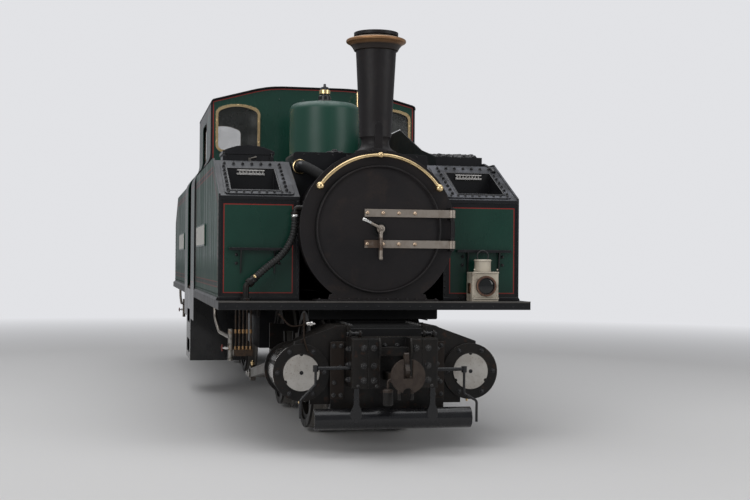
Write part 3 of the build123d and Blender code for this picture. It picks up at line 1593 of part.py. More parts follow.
# Headlamp on the running plate, with its vent, bezel and wire handle
lamp_mid_x = sum(lamp_x) / 2
lamp_mid_y = sum(lamp_y) / 2
lamp_body_top = plate_top + lamp_body_height
lamp_vent_top = lamp_body_top + lamp_vent_height
lamp_lens_height = plate_top + 101
with BuildPart() as headlamp:
    block(lamp_x, lamp_y, (plate_top, lamp_body_top))
    fillet(headlamp.edges().filter_by(Axis.Z), 14)
    fillet(headlamp.edges().group_by(Axis.Z)[-1], 7)
    with BuildSketch(Plane.XY.offset(lamp_body_top)):
        with Locations((lamp_mid_x, lamp_mid_y)):
            Circle(lamp_vent_radius)
    extrude(amount=lamp_vent_height - 12)
    with BuildSketch(Plane.XY.offset(lamp_vent_top - 12)):
        with Locations((lamp_mid_x, lamp_mid_y)):
            Circle(lamp_vent_radius + 6)
    extrude(amount=12, taper=30)
    with BuildSketch(cross_plane(lamp_x[1])):
        with Locations((lamp_mid_y, lamp_lens_height)):
            Circle(lamp_bezel_radius)
            Circle(lamp_lens_radius, mode=Mode.SUBTRACT)
    extrude(amount=lamp_bezel_depth)
    with BuildSketch(cross_plane(lamp_x[1])):
        with Locations((lamp_mid_y, lamp_lens_height)):
            Circle(lamp_lens_radius)
    extrude(amount=lamp_bezel_depth / 3)
    with BuildLine(cross_plane(lamp_mid_x)) as handle_line:
        ThreePointArc(
            (lamp_mid_y - lamp_handle_half_width, lamp_vent_top - 4),
            (lamp_mid_y, lamp_vent_top + lamp_handle_rise),
            (lamp_mid_y + lamp_handle_half_width, lamp_vent_top - 4),
        )
    with BuildSketch(Plane(origin=handle_line.line @ 0, z_dir=handle_line.line % 0)):
        Circle(lamp_handle_radius)
    sweep(path=handle_line.line)
keep(headlamp.part, "headlamp")

# Brake hose down the tank front, from the smokebox side to its coupling on the plate
hose_bends = []
for before, corner, after in zip(hose_route, hose_route[1:], hose_route[2:]):
    run_in = Vector(*corner) - Vector(*before)
    run_out = Vector(*after) - Vector(*corner)
    half_turn = radians(run_in.get_angle(run_out)) / 2
    hose_bends.append(0.45 * min(run_in.length, run_out.length) * cos(half_turn) / sin(half_turn))
print("hose bend radii", [round(bend) for bend in hose_bends])
keep_both_ends(tube(hose_route, hose_radius, hose_bends), "brake_hose")

hose_start = Vector(*hose_route[0])
hose_end = Vector(*hose_route[-1])
hose_end_direction = (hose_end - Vector(*hose_route[-2])).normalized()
coupling_corner = hose_end + hose_end_direction * coupling_reach
coupling_foot = (coupling_corner.X, coupling_corner.Y, plate_top)
neck_height = hose_start.Z + hose_clamp_length + hose_neck_radius + 4
with BuildPart() as hose_fittings:
    with BuildSketch(Plane.XY.offset(hose_start.Z)):
        with Locations((hose_start.X, hose_start.Y)):
            Circle(hose_clamp_radius)
    extrude(amount=hose_clamp_length)
    add(tube(
        (
            (hose_start.X, hose_start.Y, hose_start.Z + hose_clamp_length),
            (hose_start.X, hose_start.Y, neck_height),
            (hose_start.X, -smokebox_drum_radius + 24, neck_height),
        ),
        hose_neck_radius, 22,
    ))
    with BuildSketch(cross_plane(drum_rear_x)):
        with Locations((0, boiler_height)):
            Circle(smokebox_drum_radius)
    extrude(amount=ring_back_x - drum_rear_x, mode=Mode.SUBTRACT)
    add(tube((hose_end, coupling_corner, coupling_foot), hose_neck_radius, 24))
    with BuildSketch(Plane(origin=hose_end, z_dir=hose_end_direction)):
        Circle(hose_clamp_radius)
    extrude(amount=24)
    with BuildSketch(Plane.XY.offset(plate_top)):
        with Locations((coupling_corner.X, coupling_corner.Y)):
            Circle(hose_clamp_radius + 6)
    extrude(amount=16)
keep_both_ends_together(hose_fittings.part, "hose_fittings")

# Lubricator under the plate on the right side: feed pipes down to a manifold, a cock and a supply pipe
feed_pipe_x = 3200
feed_pipe_margin = 146
feed_pipe_spacing = 25
feed_pipe_ys = [feed_pipe_margin - plate_half_width + feed_pipe_spacing * place for place in range(5)]
feed_pipe_radius = 6
supply_pipe_x = (2700, 2860)
supply_pipe_margins = (45, 65)
supply_pipe_drops = (130, 225, 245)
manifold_height = rail_top + 520
plate_underside = plate_top - plate_thickness
with BuildPart() as lubricator:
    block((feed_pipe_x - 16, feed_pipe_x + 16), (feed_pipe_ys[0] - 20, feed_pipe_ys[-1] + 14),
          (manifold_height, manifold_height + 44))
    for y in feed_pipe_ys:
        with BuildSketch(Plane.XY.offset(manifold_height + 44)):
            with Locations((feed_pipe_x, y)):
                Circle(feed_pipe_radius)
        extrude(amount=plate_underside - manifold_height - 44)
        with BuildSketch(Plane.XY.offset(manifold_height + 44)):
            with Locations((feed_pipe_x, y)):
                RegularPolygon(feed_pipe_radius + 4, 6)
        extrude(amount=22)
        with BuildSketch(Plane.XY.offset(manifold_height + 150)):
            with Locations((feed_pipe_x, y)):
                RegularPolygon(feed_pipe_radius + 4, 6)
        extrude(amount=26)
    with BuildSketch(Plane.XY.offset(manifold_height - 30)):
        with Locations((feed_pipe_x, feed_pipe_ys[0] - 34)):
            Circle(17)
    extrude(amount=210)
    add(tube(
        (
            (supply_pipe_x[0], supply_pipe_margins[0] - plate_half_width, plate_underside),
            (supply_pipe_x[0], supply_pipe_margins[0] - plate_half_width, plate_underside - supply_pipe_drops[0]),
            (supply_pipe_x[1], supply_pipe_margins[1] - plate_half_width, plate_underside - supply_pipe_drops[1]),
            (feed_pipe_x, feed_pipe_ys[0] - 34, plate_underside - supply_pipe_drops[2]),
        ),
        13, 110,
    ))
keep_both_ends_together(lubricator.part, "lubricators")
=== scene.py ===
"""Finishes the locomotive: paint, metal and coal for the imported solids, with bolts and fittings."""

from itertools import product
from math import atan2, cos, pi, radians, sin, tau
from random import Random

import bpy
from mathutils import Matrix, Vector


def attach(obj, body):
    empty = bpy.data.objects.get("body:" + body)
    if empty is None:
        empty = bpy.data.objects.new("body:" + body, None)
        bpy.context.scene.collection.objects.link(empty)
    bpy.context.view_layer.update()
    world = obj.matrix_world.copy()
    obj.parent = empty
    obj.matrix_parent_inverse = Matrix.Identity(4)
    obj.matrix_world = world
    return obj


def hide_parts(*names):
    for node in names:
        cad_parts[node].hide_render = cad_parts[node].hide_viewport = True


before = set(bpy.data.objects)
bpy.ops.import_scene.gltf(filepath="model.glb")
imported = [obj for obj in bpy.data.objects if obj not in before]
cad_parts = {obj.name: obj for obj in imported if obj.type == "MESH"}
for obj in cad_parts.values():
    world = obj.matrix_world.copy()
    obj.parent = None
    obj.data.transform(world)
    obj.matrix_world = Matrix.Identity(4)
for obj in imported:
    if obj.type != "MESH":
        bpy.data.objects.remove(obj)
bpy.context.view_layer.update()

# Camera at the photograph's place, with its focal length in pixels of a picture this wide
CAMERA_AT = (11.338, -1.613, 1.174)
PICTURE_WIDTH = 750
FOCAL_LENGTH = 1225
SENSOR_WIDTH = 36
yaw = radians(11.57)
pitch = radians(0.568)
roll = radians(-0.468)
forward = Vector((-cos(yaw) * cos(pitch), sin(yaw) * cos(pitch), sin(pitch)))
level_right = Vector((sin(yaw), cos(yaw), 0))
level_up = level_right.cross(forward)
right = level_right * cos(roll) - level_up * sin(roll)
up = level_right * sin(roll) + level_up * cos(roll)
camera_data = bpy.data.cameras.new("camera")
camera_data.sensor_width = SENSOR_WIDTH
camera_data.lens = SENSOR_WIDTH * FOCAL_LENGTH / PICTURE_WIDTH
camera_data.clip_end = 200
camera = bpy.data.objects.new("camera", camera_data)
camera.matrix_world = Matrix.Translation(CAMERA_AT) @ Matrix(
    ((right.x, up.x, -forward.x), (right.y, up.y, -forward.y), (right.z, up.z, -forward.z))
).to_4x4()
bpy.context.collection.objects.link(camera)
bpy.context.scene.camera = camera

# Directions, and the places and sizes that several details share, in metres, as in the solids
AHEAD = (1, 0, 0)
LEFT = (0, 1, 0)
UP = (0, 0, 1)
BOILER_Z = 1.388
BOILER_RADIUS = 0.455
SMOKEBOX_RADIUS = 0.5
DOME_X = 1.329
TANK_FRONT = 3.367
TANK_SIDE = 1.0165
TANK_TOP = 1.873
SLOPE_TOP_X = 2.794
SLOPE_FOOT_Z = 1.597
PLATE_TOP = 0.92
PLATE_FRONT = 3.585
CYLINDER = (3.863, 0.539, 0.49)
AXLES = (1.486, 2.908)
AXLE_Z = 0.4315
LAMP = (0.734, 1.021)


# Shapes are gathered as points and faces, and become one object for each body and material
class Shape:
    """Points and faces of one or more closed forms."""

    def __init__(self):
        self.points = []
        self.faces = []

    def add(self, points, faces):
        start = len(self.points)
        self.points += [Vector(p) for p in points]
        self.faces += [[start + i for i in face] for face in faces]

    def mirrored(self, axis):
        other = Shape()
        other.add(
            [[-v if i == axis else v for i, v in enumerate(p)] for p in self.points],
            [face[::-1] for face in self.faces],
        )
        return other

    def both(self, axis):
        """The mirror image across an axis, and the shape itself."""
        other = self.mirrored(axis)
        other.add(self.points, self.faces)
        return other


def loft(shape, rings, closed=False):
    """Rings of points joined one to the next, with flat ends unless the last joins the first."""
    count = len(rings[0])
    faces = []
    for step in range(len(rings) if closed else len(rings) - 1):
        low, high = step * count, (step + 1) % len(rings) * count
        for i in range(count):
            j = (i + 1) % count
            faces.append([low + i, low + j, high + j, high + i])
    if not closed:
        faces.append(list(range(count))[::-1])
        faces.append([(len(rings) - 1) * count + i for i in range(count)])
    shape.add([point for ring in rings for point in ring], faces)


def cross_frame(direction):
    """Two unit vectors across a direction, with the direction itself."""
    along = Vector(direction).normalized()
    helper = Vector(UP) if abs(along.z) < 0.9 else Vector(LEFT)
    first = helper.cross(along).normalized()
    return first, along.cross(first), along


def turned(shape, at, direction, profile, sides=16, spin=0.0):
    """A turned form: profile is a list of (distance along, radius)."""
    first, second, along = cross_frame(direction)
    rings = []
    for step, radius in profile:
        ring = []
        for i in range(sides):
            angle = spin + tau * i / sides
            ring.append(Vector(at) + along * step + (first * cos(angle) + second * sin(angle)) * radius)
        rings.append(ring)
    loft(shape, rings)


def bolt(shape, at, direction, size=0.011, height=0.012, spin=0.3):
    """A hexagon head on a washer, with the stud's rounded end."""
    turned(shape, at, direction, [(-0.002, size * 1.3), (0.0015, size * 1.3), (0.0025, size * 1.2)], 12)
    turned(shape, at, direction, [(0, size), (height * 0.8, size), (height, size * 0.86)], 6, spin)
    stud = [(0, size * 0.5), (height * 1.25, size * 0.5), (height * 1.4, size * 0.3)]
    turned(shape, at, direction, stud, 8)


def rivet(shape, at, direction, size=0.007, height=None):
    """A round rivet head."""
    high = height or size * 0.62
    shares = ((-0.002, 1), (high * 0.35, 0.95), (high * 0.75, 0.66), (high * 0.97, 0.25))
    turned(shape, at, direction, [(step, size * share) for step, share in shares], 8)


def rivets(shape, start, step, count, direction, size=0.007, height=None):
    """A row of rivet heads: step is the way from one to the next."""
    for index in range(count):
        rivet(shape, [a + b * index for a, b in zip(start, step)], direction, size, height)


def tube(shape, points, radius, sides=10):
    """A round bar through points, its rings turned smoothly along the line; radius may be a list."""
    points = [Vector(p) for p in points]
    radii = radius if isinstance(radius, list) else [radius] * len(points)
    steps = [(b - a).normalized() for a, b in zip(points, points[1:])]
    first, second, along = cross_frame(steps[0])
    rings = []
    for i, point in enumerate(points):
        before, after = steps[max(i - 1, 0)], steps[min(i, len(steps) - 1)]
        heading = (before + after).normalized()
        turn = along.rotation_difference(heading)
        first, second, along = turn @ first, turn @ second, heading
        bend = after - before
        ring = []
        for k in range(sides):
            angle = tau * k / sides
            offset = (first * cos(angle) + second * sin(angle)) * radii[i]
            if bend.length > 1e-6:
                toward = bend.normalized()
                offset += toward * offset.dot(toward) * (1 / max(0.5, before.dot(heading)) - 1)
            ring.append(point + offset)
        rings.append(ring)
    loft(shape, rings)


def hoop(shape, centre, radius, thickness, steps, sides):
    """A round bar bent to a ring that faces ahead."""
    x, y, z = centre
    angles = [tau * i / steps for i in range(steps + 1)]
    tube(shape, [(x, y + radius * cos(a), z + radius * sin(a)) for a in angles], thickness, sides)


def bent(points, bend=0.03, steps=5):
    """The points with each inner corner rounded by a short curve."""
    points = [Vector(p) for p in points]
    line = [points[0]]
    for before, corner, after in zip(points, points[1:], points[2:]):
        reach_in = min(bend, (corner - before).length * 0.48)
        reach_out = min(bend, (after - corner).length * 0.48)
        start = corner + (before - corner).normalized() * reach_in
        end = corner + (after - corner).normalized() * reach_out
        for i in range(steps + 1):
            t = i / steps
            line.append(start * (1 - t) ** 2 + corner * 2 * t * (1 - t) + end * t ** 2)
    line.append(points[-1])
    return line


def facing_ahead(x):
    """The plane across the engine at x, as slab takes it."""
    return (x, 0, 0), LEFT, UP


def facing_left(y):
    """The plane along the engine at y, as slab takes it; its first axis points to the rear."""
    return (0, y, 0), (-1, 0, 0), UP


def slab(shape, outline, low, high, plane, bevel=0.0):
    """A plate: outline is (u, v) points anticlockwise about the plane's normal; plane is (origin, u, v)."""
    origin, u_axis, v_axis = (Vector(p) for p in plane)
    normal = u_axis.cross(v_axis)
    inner = []
    for i, point in enumerate(outline):
        here = Vector(point)
        back = (here - Vector(outline[i - 1])).normalized()
        ahead = (Vector(outline[(i + 1) % len(outline)]) - here).normalized()
        inward = Vector((-back.y - ahead.y, back.x + ahead.x))
        inner.append(here + inward * (bevel / max(0.3, 1 + back.dot(ahead))))
    levels = [(outline, low), (outline, high - bevel)]
    if bevel:
        levels.append((inner, high))
    loft(shape, [[origin + u_axis * u + v_axis * v + normal * at for u, v in ring] for ring, at in levels])


def rectangle(u, v, corner=0.0, steps=4):
    """An outline of a rectangle with rounded corners: u and v are (low, high)."""
    if not corner:
        return [(u[0], v[0]), (u[1], v[0]), (u[1], v[1]), (u[0], v[1])]
    line = []
    for centre_u, centre_v, start in (
        (u[1] - corner, v[0] + corner, -pi / 2), (u[1] - corner, v[1] - corner, 0),
        (u[0] + corner, v[1] - corner, pi / 2), (u[0] + corner, v[0] + corner, pi),
    ):
        for i in range(steps + 1):
            angle = start + pi / 2 * i / steps
            line.append((centre_u + corner * cos(angle), centre_v + corner * sin(angle)))
    return line


def brick(shape, low, high, bevel=0.002):
    """A box with its edges and corners taken off."""
    middle = [(a + b) / 2 for a, b in zip(low, high)]
    half = [(b - a) / 2 for a, b in zip(low, high)]
    cut = min(bevel, *[h * 0.45 for h in half])
    points = []
    corners = {}
    for sign in product((-1, 1), repeat=3):
        corners[sign] = len(points)
        for axis in range(3):
            points.append([middle[k] + sign[k] * (half[k] - (0 if k == axis else cut)) for k in range(3)])

    def corner(axis, along, a, b):
        """A corner's first point, from its signs on an axis and on the two that follow."""
        sign = [along, a, b]
        return corners[tuple(sign[(k - axis) % 3] for k in range(3))]

    faces = []
    for axis in range(3):
        one, two = (axis + 1) % 3, (axis + 2) % 3
        for along in (-1, 1):
            face = [corner(axis, along, a, b) + axis for a, b in ((-1, -1), (1, -1), (1, 1), (-1, 1))]
            faces.append(face[::along])
        for a, b in product((-1, 1), repeat=2):
            start, end = corner(axis, -1, a, b), corner(axis, 1, a, b)
            faces.append([start + one, end + one, end + two, start + two][::a * b])
    for (a, b, c), start in corners.items():
        faces.append([start, start + 1, start + 2][::a * b * c])
    shape.add(points, faces)


# Shader arithmetic
class Num:
    """A shader value, so that masks can be written as sums."""

    def __init__(self, tree, out):
        self.tree = tree
        self.out = out

    def op(self, kind, *others, clamp=False):
        node = self.tree.nodes.new("ShaderNodeMath")
        node.operation = kind
        node.use_clamp = clamp
        for socket, value in zip(node.inputs, (self, *others)):
            if isinstance(value, Num):
                self.tree.links.new(value.out, socket)
            else:
                socket.default_value = value
        return Num(self.tree, node.outputs[0])

    def __add__(self, other):
        return self.op("ADD", other)

    def __sub__(self, other):
        return self.op("SUBTRACT", other)

    def __mul__(self, other):
        return self.op("MULTIPLY", other)

    def __abs__(self):
        return self.op("ABSOLUTE")

    def most(self, other):
        return self.op("MAXIMUM", other)

    def least(self, other):
        return self.op("MINIMUM", other)

    def line(self, slope, start):
        """The value times a slope, added to a start and kept within nothing and one."""
        return self.op("MULTIPLY_ADD", slope, start, clamp=True)

    def over(self, edge, soft=0.001):
        return self.line(1 / soft, 0.5 - edge / soft)

    def under(self, edge, soft=0.001):
        return self.line(-1 / soft, 0.5 + edge / soft)

    def band(self, centre, width, soft=0.001):
        return abs(self - centre).under(width / 2, soft)

    def flip(self):
        return self.op("MULTIPLY_ADD", -1, 1)

    def away(self, other):
        """The length of a step with these two sides."""
        return (self * self + other * other).op("SQRT")


class Surface:
    """One procedural material, with its coordinates at hand."""

    def __init__(self, name, colour, rough=0.5, metal=0.0, coat=0.0, coat_rough=0.1, specular=0.5):
        self.material = bpy.data.materials.new(name)
        self.material.use_nodes = True
        self.tree = self.material.node_tree
        self.shader = self.tree.nodes["Principled BSDF"]
        for socket, value in (
            ("Base Color", (*colour, 1)), ("Roughness", rough), ("Metallic", metal), ("Coat Weight", coat),
            ("Coat Roughness", coat_rough), ("Specular IOR Level", specular),
        ):
            self.shader.inputs[socket].default_value = value
        places = self.tree.nodes.new("ShaderNodeTexCoord")
        self.place = places.outputs["Object"]
        self.colour = colour
        self.x, self.y, self.z = self.split(self.place)
        self.nx, self.ny, self.nz = self.split(places.outputs["Normal"])
        self.far_x, self.far_y = abs(self.x), abs(self.y)
        self.heights = []

    def split(self, out):
        node = self.tree.nodes.new("ShaderNodeSeparateXYZ")
        self.tree.links.new(out, node.inputs[0])
        return [Num(self.tree, node.outputs[i]) for i in range(3)]

    def texture(self, kind, scale, stretch=(1, 1, 1), shift=(0, 0, 0)):
        place = self.tree.nodes.new("ShaderNodeMapping")
        place.inputs["Scale"].default_value = stretch
        place.inputs["Location"].default_value = shift
        self.tree.links.new(self.place, place.inputs["Vector"])
        node = self.tree.nodes.new(kind)
        node.inputs["Scale"].default_value = scale
        self.tree.links.new(place.outputs[0], node.inputs["Vector"])
        return node

    def noise(self, scale, detail=4.0, stretch=(1, 1, 1), shift=(0, 0, 0), warp=0.0):
        node = self.texture("ShaderNodeTexNoise", scale, stretch, shift)
        node.inputs["Detail"].default_value = detail
        node.inputs["Roughness"].default_value = 0.55
        node.inputs["Distortion"].default_value = warp
        return Num(self.tree, node.outputs["Fac"])

    def cells(self, scale):
        return Num(self.tree, self.texture("ShaderNodeTexVoronoi", scale).outputs["Distance"])

    def rounded(self, radius):
        """The normal with edges softened over a radius."""
        node = self.tree.nodes.new("ShaderNodeBevel")
        node.samples = 4
        node.inputs["Radius"].default_value = radius
        return node.outputs[0]

    def edges(self, radius):
        """Where the surface turns sharply: one on edges, nothing on flats."""
        plain = self.tree.nodes.new("ShaderNodeNewGeometry")
        dot = self.tree.nodes.new("ShaderNodeVectorMath")
        dot.operation = "DOT_PRODUCT"
        self.tree.links.new(self.rounded(radius), dot.inputs[0])
        self.tree.links.new(plain.outputs["Normal"], dot.inputs[1])
        return Num(self.tree, dot.outputs["Value"]).line(-6.0, 6.0)

    def paint(self, colour, mask):
        """Lay another colour over what is there, where the mask is one."""
        node = self.tree.nodes.new("ShaderNodeMix")
        node.data_type = "RGBA"
        sockets = [s for s in node.inputs if s.type == "RGBA"]
        if isinstance(self.colour, tuple):
            sockets[0].default_value = (*self.colour, 1)
        else:
            self.tree.links.new(self.colour, sockets[0])
        sockets[1].default_value = (*colour, 1)
        self.tree.links.new(mask.out, next(s for s in node.inputs if s.type == "VALUE" and s.enabled))
        self.colour = next(s for s in node.outputs if s.type == "RGBA")

    def rough(self, value):
        self.tree.links.new(value.out, self.shader.inputs["Roughness"])

    def metal(self, value):
        self.tree.links.new(value.out, self.shader.inputs["Metallic"])

    def height(self, value, distance):
        """Add a relief, in metres for a value of one."""
        self.heights.append(value * distance)

    def done(self, round_edges=0.0):
        if not isinstance(self.colour, tuple):
            self.tree.links.new(self.colour, self.shader.inputs["Base Color"])
        normal = self.rounded(round_edges) if round_edges else None
        if self.heights:
            total = self.heights[0]
            for height in self.heights[1:]:
                total = total + height
            node = self.tree.nodes.new("ShaderNodeBump")
            node.inputs["Distance"].default_value = 1.0
            self.tree.links.new(total.out, node.inputs["Height"])
            if normal:
                self.tree.links.new(normal, node.inputs["Normal"])
            normal = node.outputs[0]
        if normal:
            self.tree.links.new(normal, self.shader.inputs["Normal"])
            self.tree.links.new(normal, self.shader.inputs["Coat Normal"])
        return self.material


# Colours, linear
GREEN = (0.006, 0.038, 0.0255)
BLACK = (0.0055, 0.0056, 0.0068)
RED = (0.26, 0.024, 0.018)
DUST = (0.042, 0.038, 0.033)
RUST = (0.06, 0.024, 0.012)
POLISHED = (0.5, 0.48, 0.45)

# How soft a painted line's edge is, how far a mask reaches under a face, and the tank slope's angle
LINE_EDGE = 0.0012
FACE_EDGE = 0.0005
slope_angle = atan2(TANK_TOP - SLOPE_FOOT_Z, TANK_FRONT - SLOPE_TOP_X)


def uneven(paint):
    """The roughness of brushed paint, apart from its lowest value."""
    return paint.noise(5, 6, (1, 1, 0.35)) * 0.3


def streaks(paint):
    """A noise stretched up and down: pale streaks of painted reflection on the sides, and streaky roughness
    and dust.
    """
    return paint.noise(9, 7, (1, 1, 0.09), (3, 1, 0))


def lined(name, coat=0.35):
    """Deep green gloss paint, a little uneven, with a milky film of weather."""
    paint = Surface(name, GREEN, 0.3, coat=coat, coat_rough=0.08, specular=0.3)
    paint.paint((0.0105, 0.056, 0.037), paint.noise(2.2, 5).over(0.52, 0.3) * 0.6)
    paint.rough(uneven(paint) + 0.13)
    paint.height(paint.noise(160, 2), 0.0002)
    paint.height(paint.noise(1.6, 2), 0.012)
    return paint


def tank_paint():
    """Lined green sides, black edges, and wet gritty plates on the slopes; pale painted reflections on the
    plates and high on the sides, and painted shade on the lower sides.
    """
    paint = lined("tank_green", 0.12)
    front = paint.far_x.over(TANK_FRONT - 0.0015, FACE_EDGE) * abs(paint.nx).over(0.8, 0.1)
    side = paint.far_y.over(TANK_SIDE - 0.001, FACE_EDGE) * abs(paint.ny).over(0.8, 0.1)
    front_edge = (abs(paint.far_y - 0.7575) - 0.2245).most(abs(paint.z - 1.2565) - 0.2875)
    slope = (paint.z - TANK_TOP) * cos(slope_angle) + (paint.far_x - SLOPE_TOP_X) * sin(slope_angle)
    side_edge = (paint.z * -1 + 1.0205).most(paint.z - 1.805)
    side_edge = side_edge.most(paint.far_x - 3.305).most(paint.far_x * -1 + 0.855).most(slope + 0.058)
    paint.paint(BLACK, front * front_edge.over(0.0, LINE_EDGE))
    paint.paint(RED, front * front_edge.band(0.0, 0.0062, LINE_EDGE))
    paint.paint(BLACK, side * side_edge.band(0.0, 0.031, LINE_EDGE))
    for offset in (0.0165, -0.0165):
        paint.paint(RED, side * side_edge.band(offset, 0.0055))
    paint.paint(BLACK, (front + side).least(1.0).flip())
    sloping = paint.nz.over(0.6, 0.1) * paint.z.over(1.52, 0.01)
    specks = paint.noise(85, 5)
    grit = paint.noise(14, 6)
    wet_plate = sloping * paint.z.under(TANK_TOP - 0.001, 0.004)
    paint.paint((0.03, 0.031, 0.036), wet_plate * grit.over(0.3, 0.4) * 0.9)
    # Pale patches on the wet plates: painted reflection of the sky in the wet
    puddle_reflections = paint.noise(3.4, 6, shift=(6, 2, 1)).over(0.56, 0.14)
    paint.paint((0.16, 0.165, 0.185), wet_plate * puddle_reflections * 0.6)
    paint.paint((0.02, 0.02, 0.022), sloping * specks.over(0.62, 0.08) * grit.over(0.45, 0.2) * 0.6)
    streak = streaks(paint)
    reflection_patches = paint.noise(1.4, 4, (1, 1, 0.5), (5, 0, 2))
    paint.height(side * paint.noise(55, 4, (1, 1, 0.05), (2, 6, 0)), 0.0022)
    # Pale streaks high on the sides are painted reflection of the sky; the darker lower sides are painted
    # shade
    upper = side * paint.z.over(1.16, 0.12)
    lower = side * paint.z.over(1.16, 0.12).flip()
    paint.paint((0.12, 0.135, 0.12), upper * streak.over(0.52, 0.2) * reflection_patches.over(0.42, 0.3) * 0.22)
    paint.paint((0.005, 0.027, 0.018), lower * 0.45)
    paint.rough(uneven(paint) + 0.13 + lower * 0.35 + upper * streak.over(0.5, 0.2) * 0.3 + wet_plate * 0.06)
    paint.paint(DUST, (front + side) * paint.z.under(0.955, 0.05) * streak.over(0.4, 0.3) * 0.5)
    return paint.done(0.004)


def cab_paint():
    """Green ends and panels with red lines, black between them, dark inside, and pale streaks of painted
    reflection on the sides.
    """
    paint = lined("cab_green")
    ends = abs(paint.nx).over(0.7, 0.1) * paint.far_x.over(0.7845, FACE_EDGE)
    eaves = (paint.far_y - 0.898) * 0.2607 + (paint.z - 2.553) * 0.9654
    end_edge = (paint.far_y - 0.896).most(eaves.op("SMOOTH_MAX", paint.z - 2.688, 0.058))
    paint.paint(BLACK, ends * end_edge.over(-0.0165, LINE_EDGE))
    paint.paint(RED, ends * end_edge.band(-0.0205, 0.0082, LINE_EDGE))
    outside = (paint.far_x.under(0.784) + paint.far_y.over(0.9, 0.01)).least(1.0)
    sides = abs(paint.ny).over(0.6, 0.1) * outside
    across = abs(paint.far_x - 0.535) - 0.2
    panel = across.most(abs(paint.z - 2.24) - 0.215).least(across.most(abs(paint.z - 1.4) - 0.41))
    paint.paint(BLACK, sides * panel.over(0.0, LINE_EDGE))
    paint.paint(RED, sides * panel.band(0.0, 0.006, LINE_EDGE))
    paint.paint((0.011, 0.0105, 0.0095), paint.far_x.under(0.7775) * paint.far_y.under(0.885))
    paint.paint(BLACK, paint.z.under(0.93, 0.004))
    # Pale streaks on the sides: painted reflection
    paint.paint((0.06, 0.075, 0.065), sides * streaks(paint).over(0.58, 0.22) * 0.2)
    paint.paint(DUST, paint.z.under(0.35, 0.9) * paint.noise(7, 6).over(0.5, 0.25) * 0.5)
    return paint.done(0.003)


def dome_paint():
    """Green, with a painted highlight on the crown."""
    paint = Surface("dome_green", (0.0075, 0.054, 0.035), 0.45, coat=0.3, coat_rough=0.32, specular=0.3)
    paint.paint((0.012, 0.075, 0.049), paint.noise(3, 3).over(0.5, 0.4) * 0.5)
    # Pale green patches on the upward faces of the crown: painted highlight
    crown_highlight = paint.z.over(2.43, 0.05) * paint.nz.over(0.35, 0.5)
    paint.paint((0.1, 0.14, 0.125), crown_highlight * paint.noise(18, 6).over(0.42, 0.4) * 0.7)
    paint.rough(uneven(paint) + 0.28)
    paint.height(paint.noise(1.6, 2), 0.012)
    return paint.done()


def valve_paint():
    """Black with one brass band."""
    paint = Surface("valve_black", BLACK, 0.3, coat=0.5)
    band = paint.z.band(2.576, 0.0305, FACE_EDGE)
    paint.paint((0.8, 0.6, 0.3), band)
    paint.metal(band)
    paint.rough(paint.noise(40, 4) * 0.2 + 0.16)
    return paint.done(0.002)


def cap_bronze():
    """Tarnished bronze, dusty on top and black with soot underneath."""
    paint = Surface("cap_bronze", (0.36, 0.2, 0.095), 0.42, metal=0.75, specular=0.4)
    patch = paint.noise(9, 6)
    fine = paint.noise(60, 5)
    paint.paint((0.2, 0.1, 0.05), patch.over(0.5, 0.3) * 0.6)
    paint.paint((0.27, 0.245, 0.2), paint.z.over(2.637, 0.012) * 0.7)
    under = paint.z.under(2.602, 0.016)
    paint.paint((0.012, 0.0065, 0.004), under)
    paint.metal(under.flip() * 0.75)
    paint.rough(fine * 0.2 + patch * 0.15 + 0.24)
    paint.height(fine, 0.0004)
    return paint.done(0.002)


def black(name, rough=0.38, coat=0.35, dust=0.25, colour=BLACK, wear=0.4, bevel=0.003):
    """Black paint with dust on its upper faces and bare metal on its edges."""
    paint = Surface(name, colour, rough, coat=coat, coat_rough=0.15, specular=0.25)
    patch = paint.noise(11, 6)
    fine = paint.noise(90, 4)
    paint.paint(tuple(c * 1.5 + 0.001 for c in colour), patch.over(0.5, 0.3) * 0.5)
    paint.paint(DUST, paint.nz.over(0.55, 0.5) * fine.over(0.5, 0.25) * patch.over(0.42, 0.3) * dust)
    if wear:
        worn = paint.edges(0.004) * paint.noise(30, 4, shift=(7, 3, 1)).over(0.46, 0.25)
        paint.paint((0.1, 0.095, 0.09), worn * wear)
    paint.rough(patch * 0.3 + (rough - 0.13))
    paint.height(fine, 0.00035)
    return paint.done(bevel)


def smokebox_paint():
    """Graphite black with burnt patches, and painted shade in the gap round the door."""
    graphite = (0.0085, 0.0075, 0.0085)
    paint = Surface("smokebox_graphite", graphite, 0.5, coat=0.03, coat_rough=0.35, specular=0.24)
    broad = paint.noise(2.6, 5, shift=(2, 0, 0))
    fine = paint.noise(60, 5)
    heat = paint.noise(5.5, 7, shift=(0, 4, 1), warp=0.8)
    paint.paint((0.017, 0.0135, 0.0135), broad.over(0.48, 0.3) * 0.7)
    paint.paint((0.04, 0.026, 0.019), heat.over(0.6, 0.15) * fine.over(0.45, 0.3) * 0.35)
    paint.paint((0.055, 0.052, 0.05), paint.edges(0.005) * fine.over(0.42, 0.3) * 0.7)
    # Near black ring round the door: painted shade of the gap between door and ring
    door_gap_shade = paint.far_x.over(3.558, 0.002) * paint.y.away(paint.z - BOILER_Z).band(0.4145, 0.006, 0.003)
    paint.paint((0.003, 0.003, 0.003), door_gap_shade)
    paint.rough(broad * 0.3 + fine * 0.12 + 0.27)
    paint.height(fine, 0.0006)
    paint.height(paint.noise(3.5, 3), 0.01)
    return paint.done(0.004)


